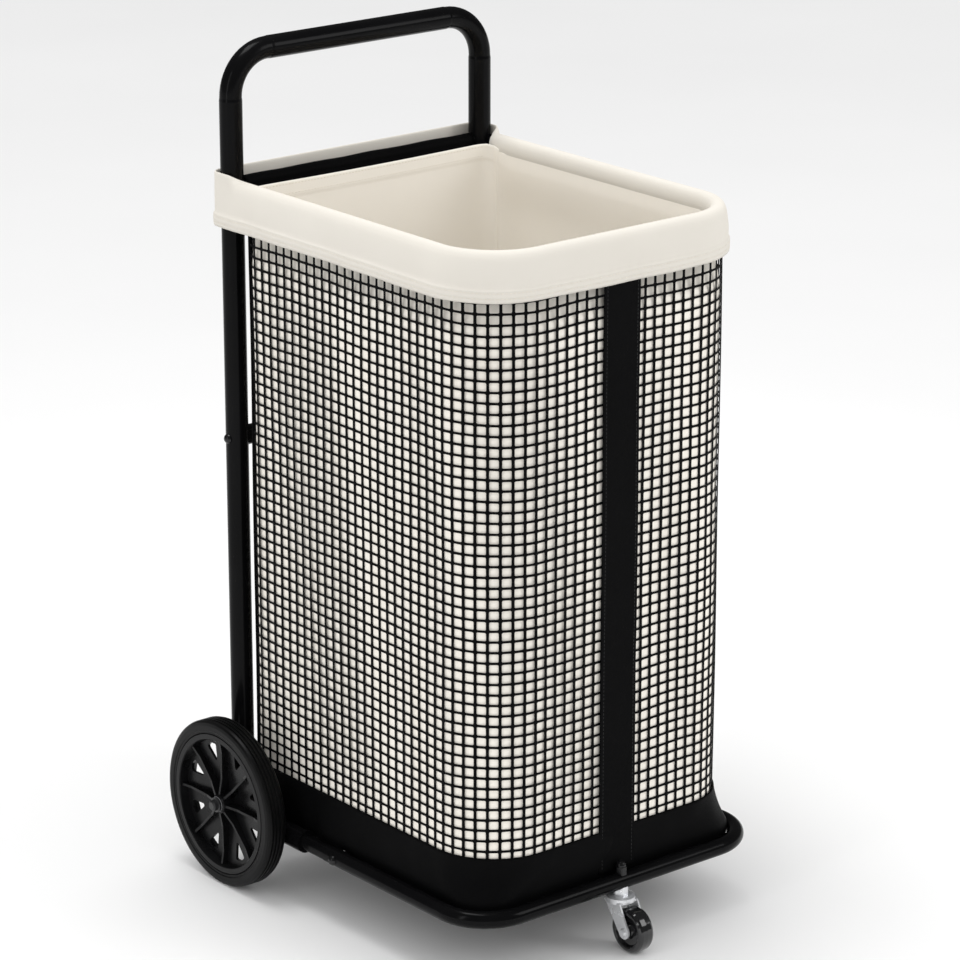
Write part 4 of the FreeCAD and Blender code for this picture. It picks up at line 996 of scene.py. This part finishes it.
def make_stage():
    """Plain pale floor, large enough to meet the white room."""
    bpy.ops.object.select_all(action="DESELECT")
    bpy.ops.mesh.primitive_plane_add(size=1, location=(0, 0, 0))
    floor = bpy.context.active_object
    floor.name = "floor"
    floor.scale = (FLOOR_SIZE, FLOOR_SIZE, 1)
    bpy.ops.object.transform_apply(location=True, rotation=True, scale=True)
    material, tree, surface, places = new_finish("floor_paint", Roughness=0.9)
    mottle = use_group(tree, mottle_group, Vector=places.outputs["Object"], Cloud_Size=0.8, Grain_Size=60.0)
    tone = blend_colours(tree, mottle.outputs["Cloud"], colour(0.86, 0.86, 0.86), colour(0.89, 0.89, 0.89))
    tree.links.new(tone, surface.inputs["Base Color"])
    floor.data.materials.append(material)


def add_softbox(name, place, aim, size, power):
    """Large soft light that points at aim."""
    data = bpy.data.lights.new(name, "AREA")
    data.shape = "RECTANGLE"
    data.size, data.size_y = size
    data.energy = power
    lamp = bpy.data.objects.new(name, data)
    bpy.context.collection.objects.link(lamp)
    lamp.location = place
    lamp.rotation_mode = "QUATERNION"
    lamp.rotation_quaternion = (Vector(aim) - Vector(place)).to_track_quat("-Z", "Y")


ROOM_LIGHT = 0.97
ROOM_IN_GLOSS = 0.10


def make_light():
    """Soft studio light: a white room and three softboxes."""
    world = bpy.data.worlds.new("studio")
    bpy.context.scene.world = world
    world.use_nodes = True
    tree = world.node_tree
    room = tree.nodes["Background"]
    room.inputs["Color"].default_value = (1.0, 1.0, 1.0, 1.0)
    rays = tree.nodes.new("ShaderNodeLightPath")
    dim = maths(tree, "MULTIPLY_ADD", rays.outputs["Is Glossy Ray"], ROOM_IN_GLOSS - ROOM_LIGHT, ROOM_LIGHT)
    tree.links.new(dim, room.inputs["Strength"])
    add_softbox("key_softbox", (1.9, -2.6, 2.2), (0, 0, 0.45), (1.2, 1.6), 20)
    add_softbox("side_softbox", (-2.8, -0.4, 1.5), (0, 0, 0.5), (0.35, 2.2), 8)
    add_softbox("top_softbox", (-0.3, 0.4, 3.2), (0, 0, 0.6), (1.2, 1.2), 29)


CAMERA_TURN = 39.4
CAMERA_DROP = 18.1
CAMERA_FAR = 4.3235
CAMERA_SENSOR = 36
CAMERA_LENS = 150
CAMERA_AIM = Vector((0.0, -0.0391 + Y_SHIFT, 0.4646))


def make_camera():
    """Long lens in front of the cart's left corner, a little above it."""
    turn, drop = math.radians(CAMERA_TURN), math.radians(CAMERA_DROP)
    look = Vector((math.sin(turn) * math.cos(drop), math.cos(turn) * math.cos(drop), -math.sin(drop)))
    data = bpy.data.cameras.new("camera")
    data.sensor_width = CAMERA_SENSOR
    data.lens = CAMERA_LENS
    camera = bpy.data.objects.new("camera", data)
    bpy.context.collection.objects.link(camera)
    camera.location = CAMERA_AIM - look * CAMERA_FAR
    camera.rotation_mode = "QUATERNION"
    camera.rotation_quaternion = look.to_track_quat("-Z", "Y")
    bpy.context.scene.camera = camera


make_camera()
make_mesh_walls()
make_liner()
make_liner_stitches()
make_cuff()
make_band()
make_bindings()
make_strap()
make_sleeve()
make_stage()
make_light()

scene = bpy.context.scene
scene.view_settings.view_transform = "Standard"
scene.view_settings.look = "None"
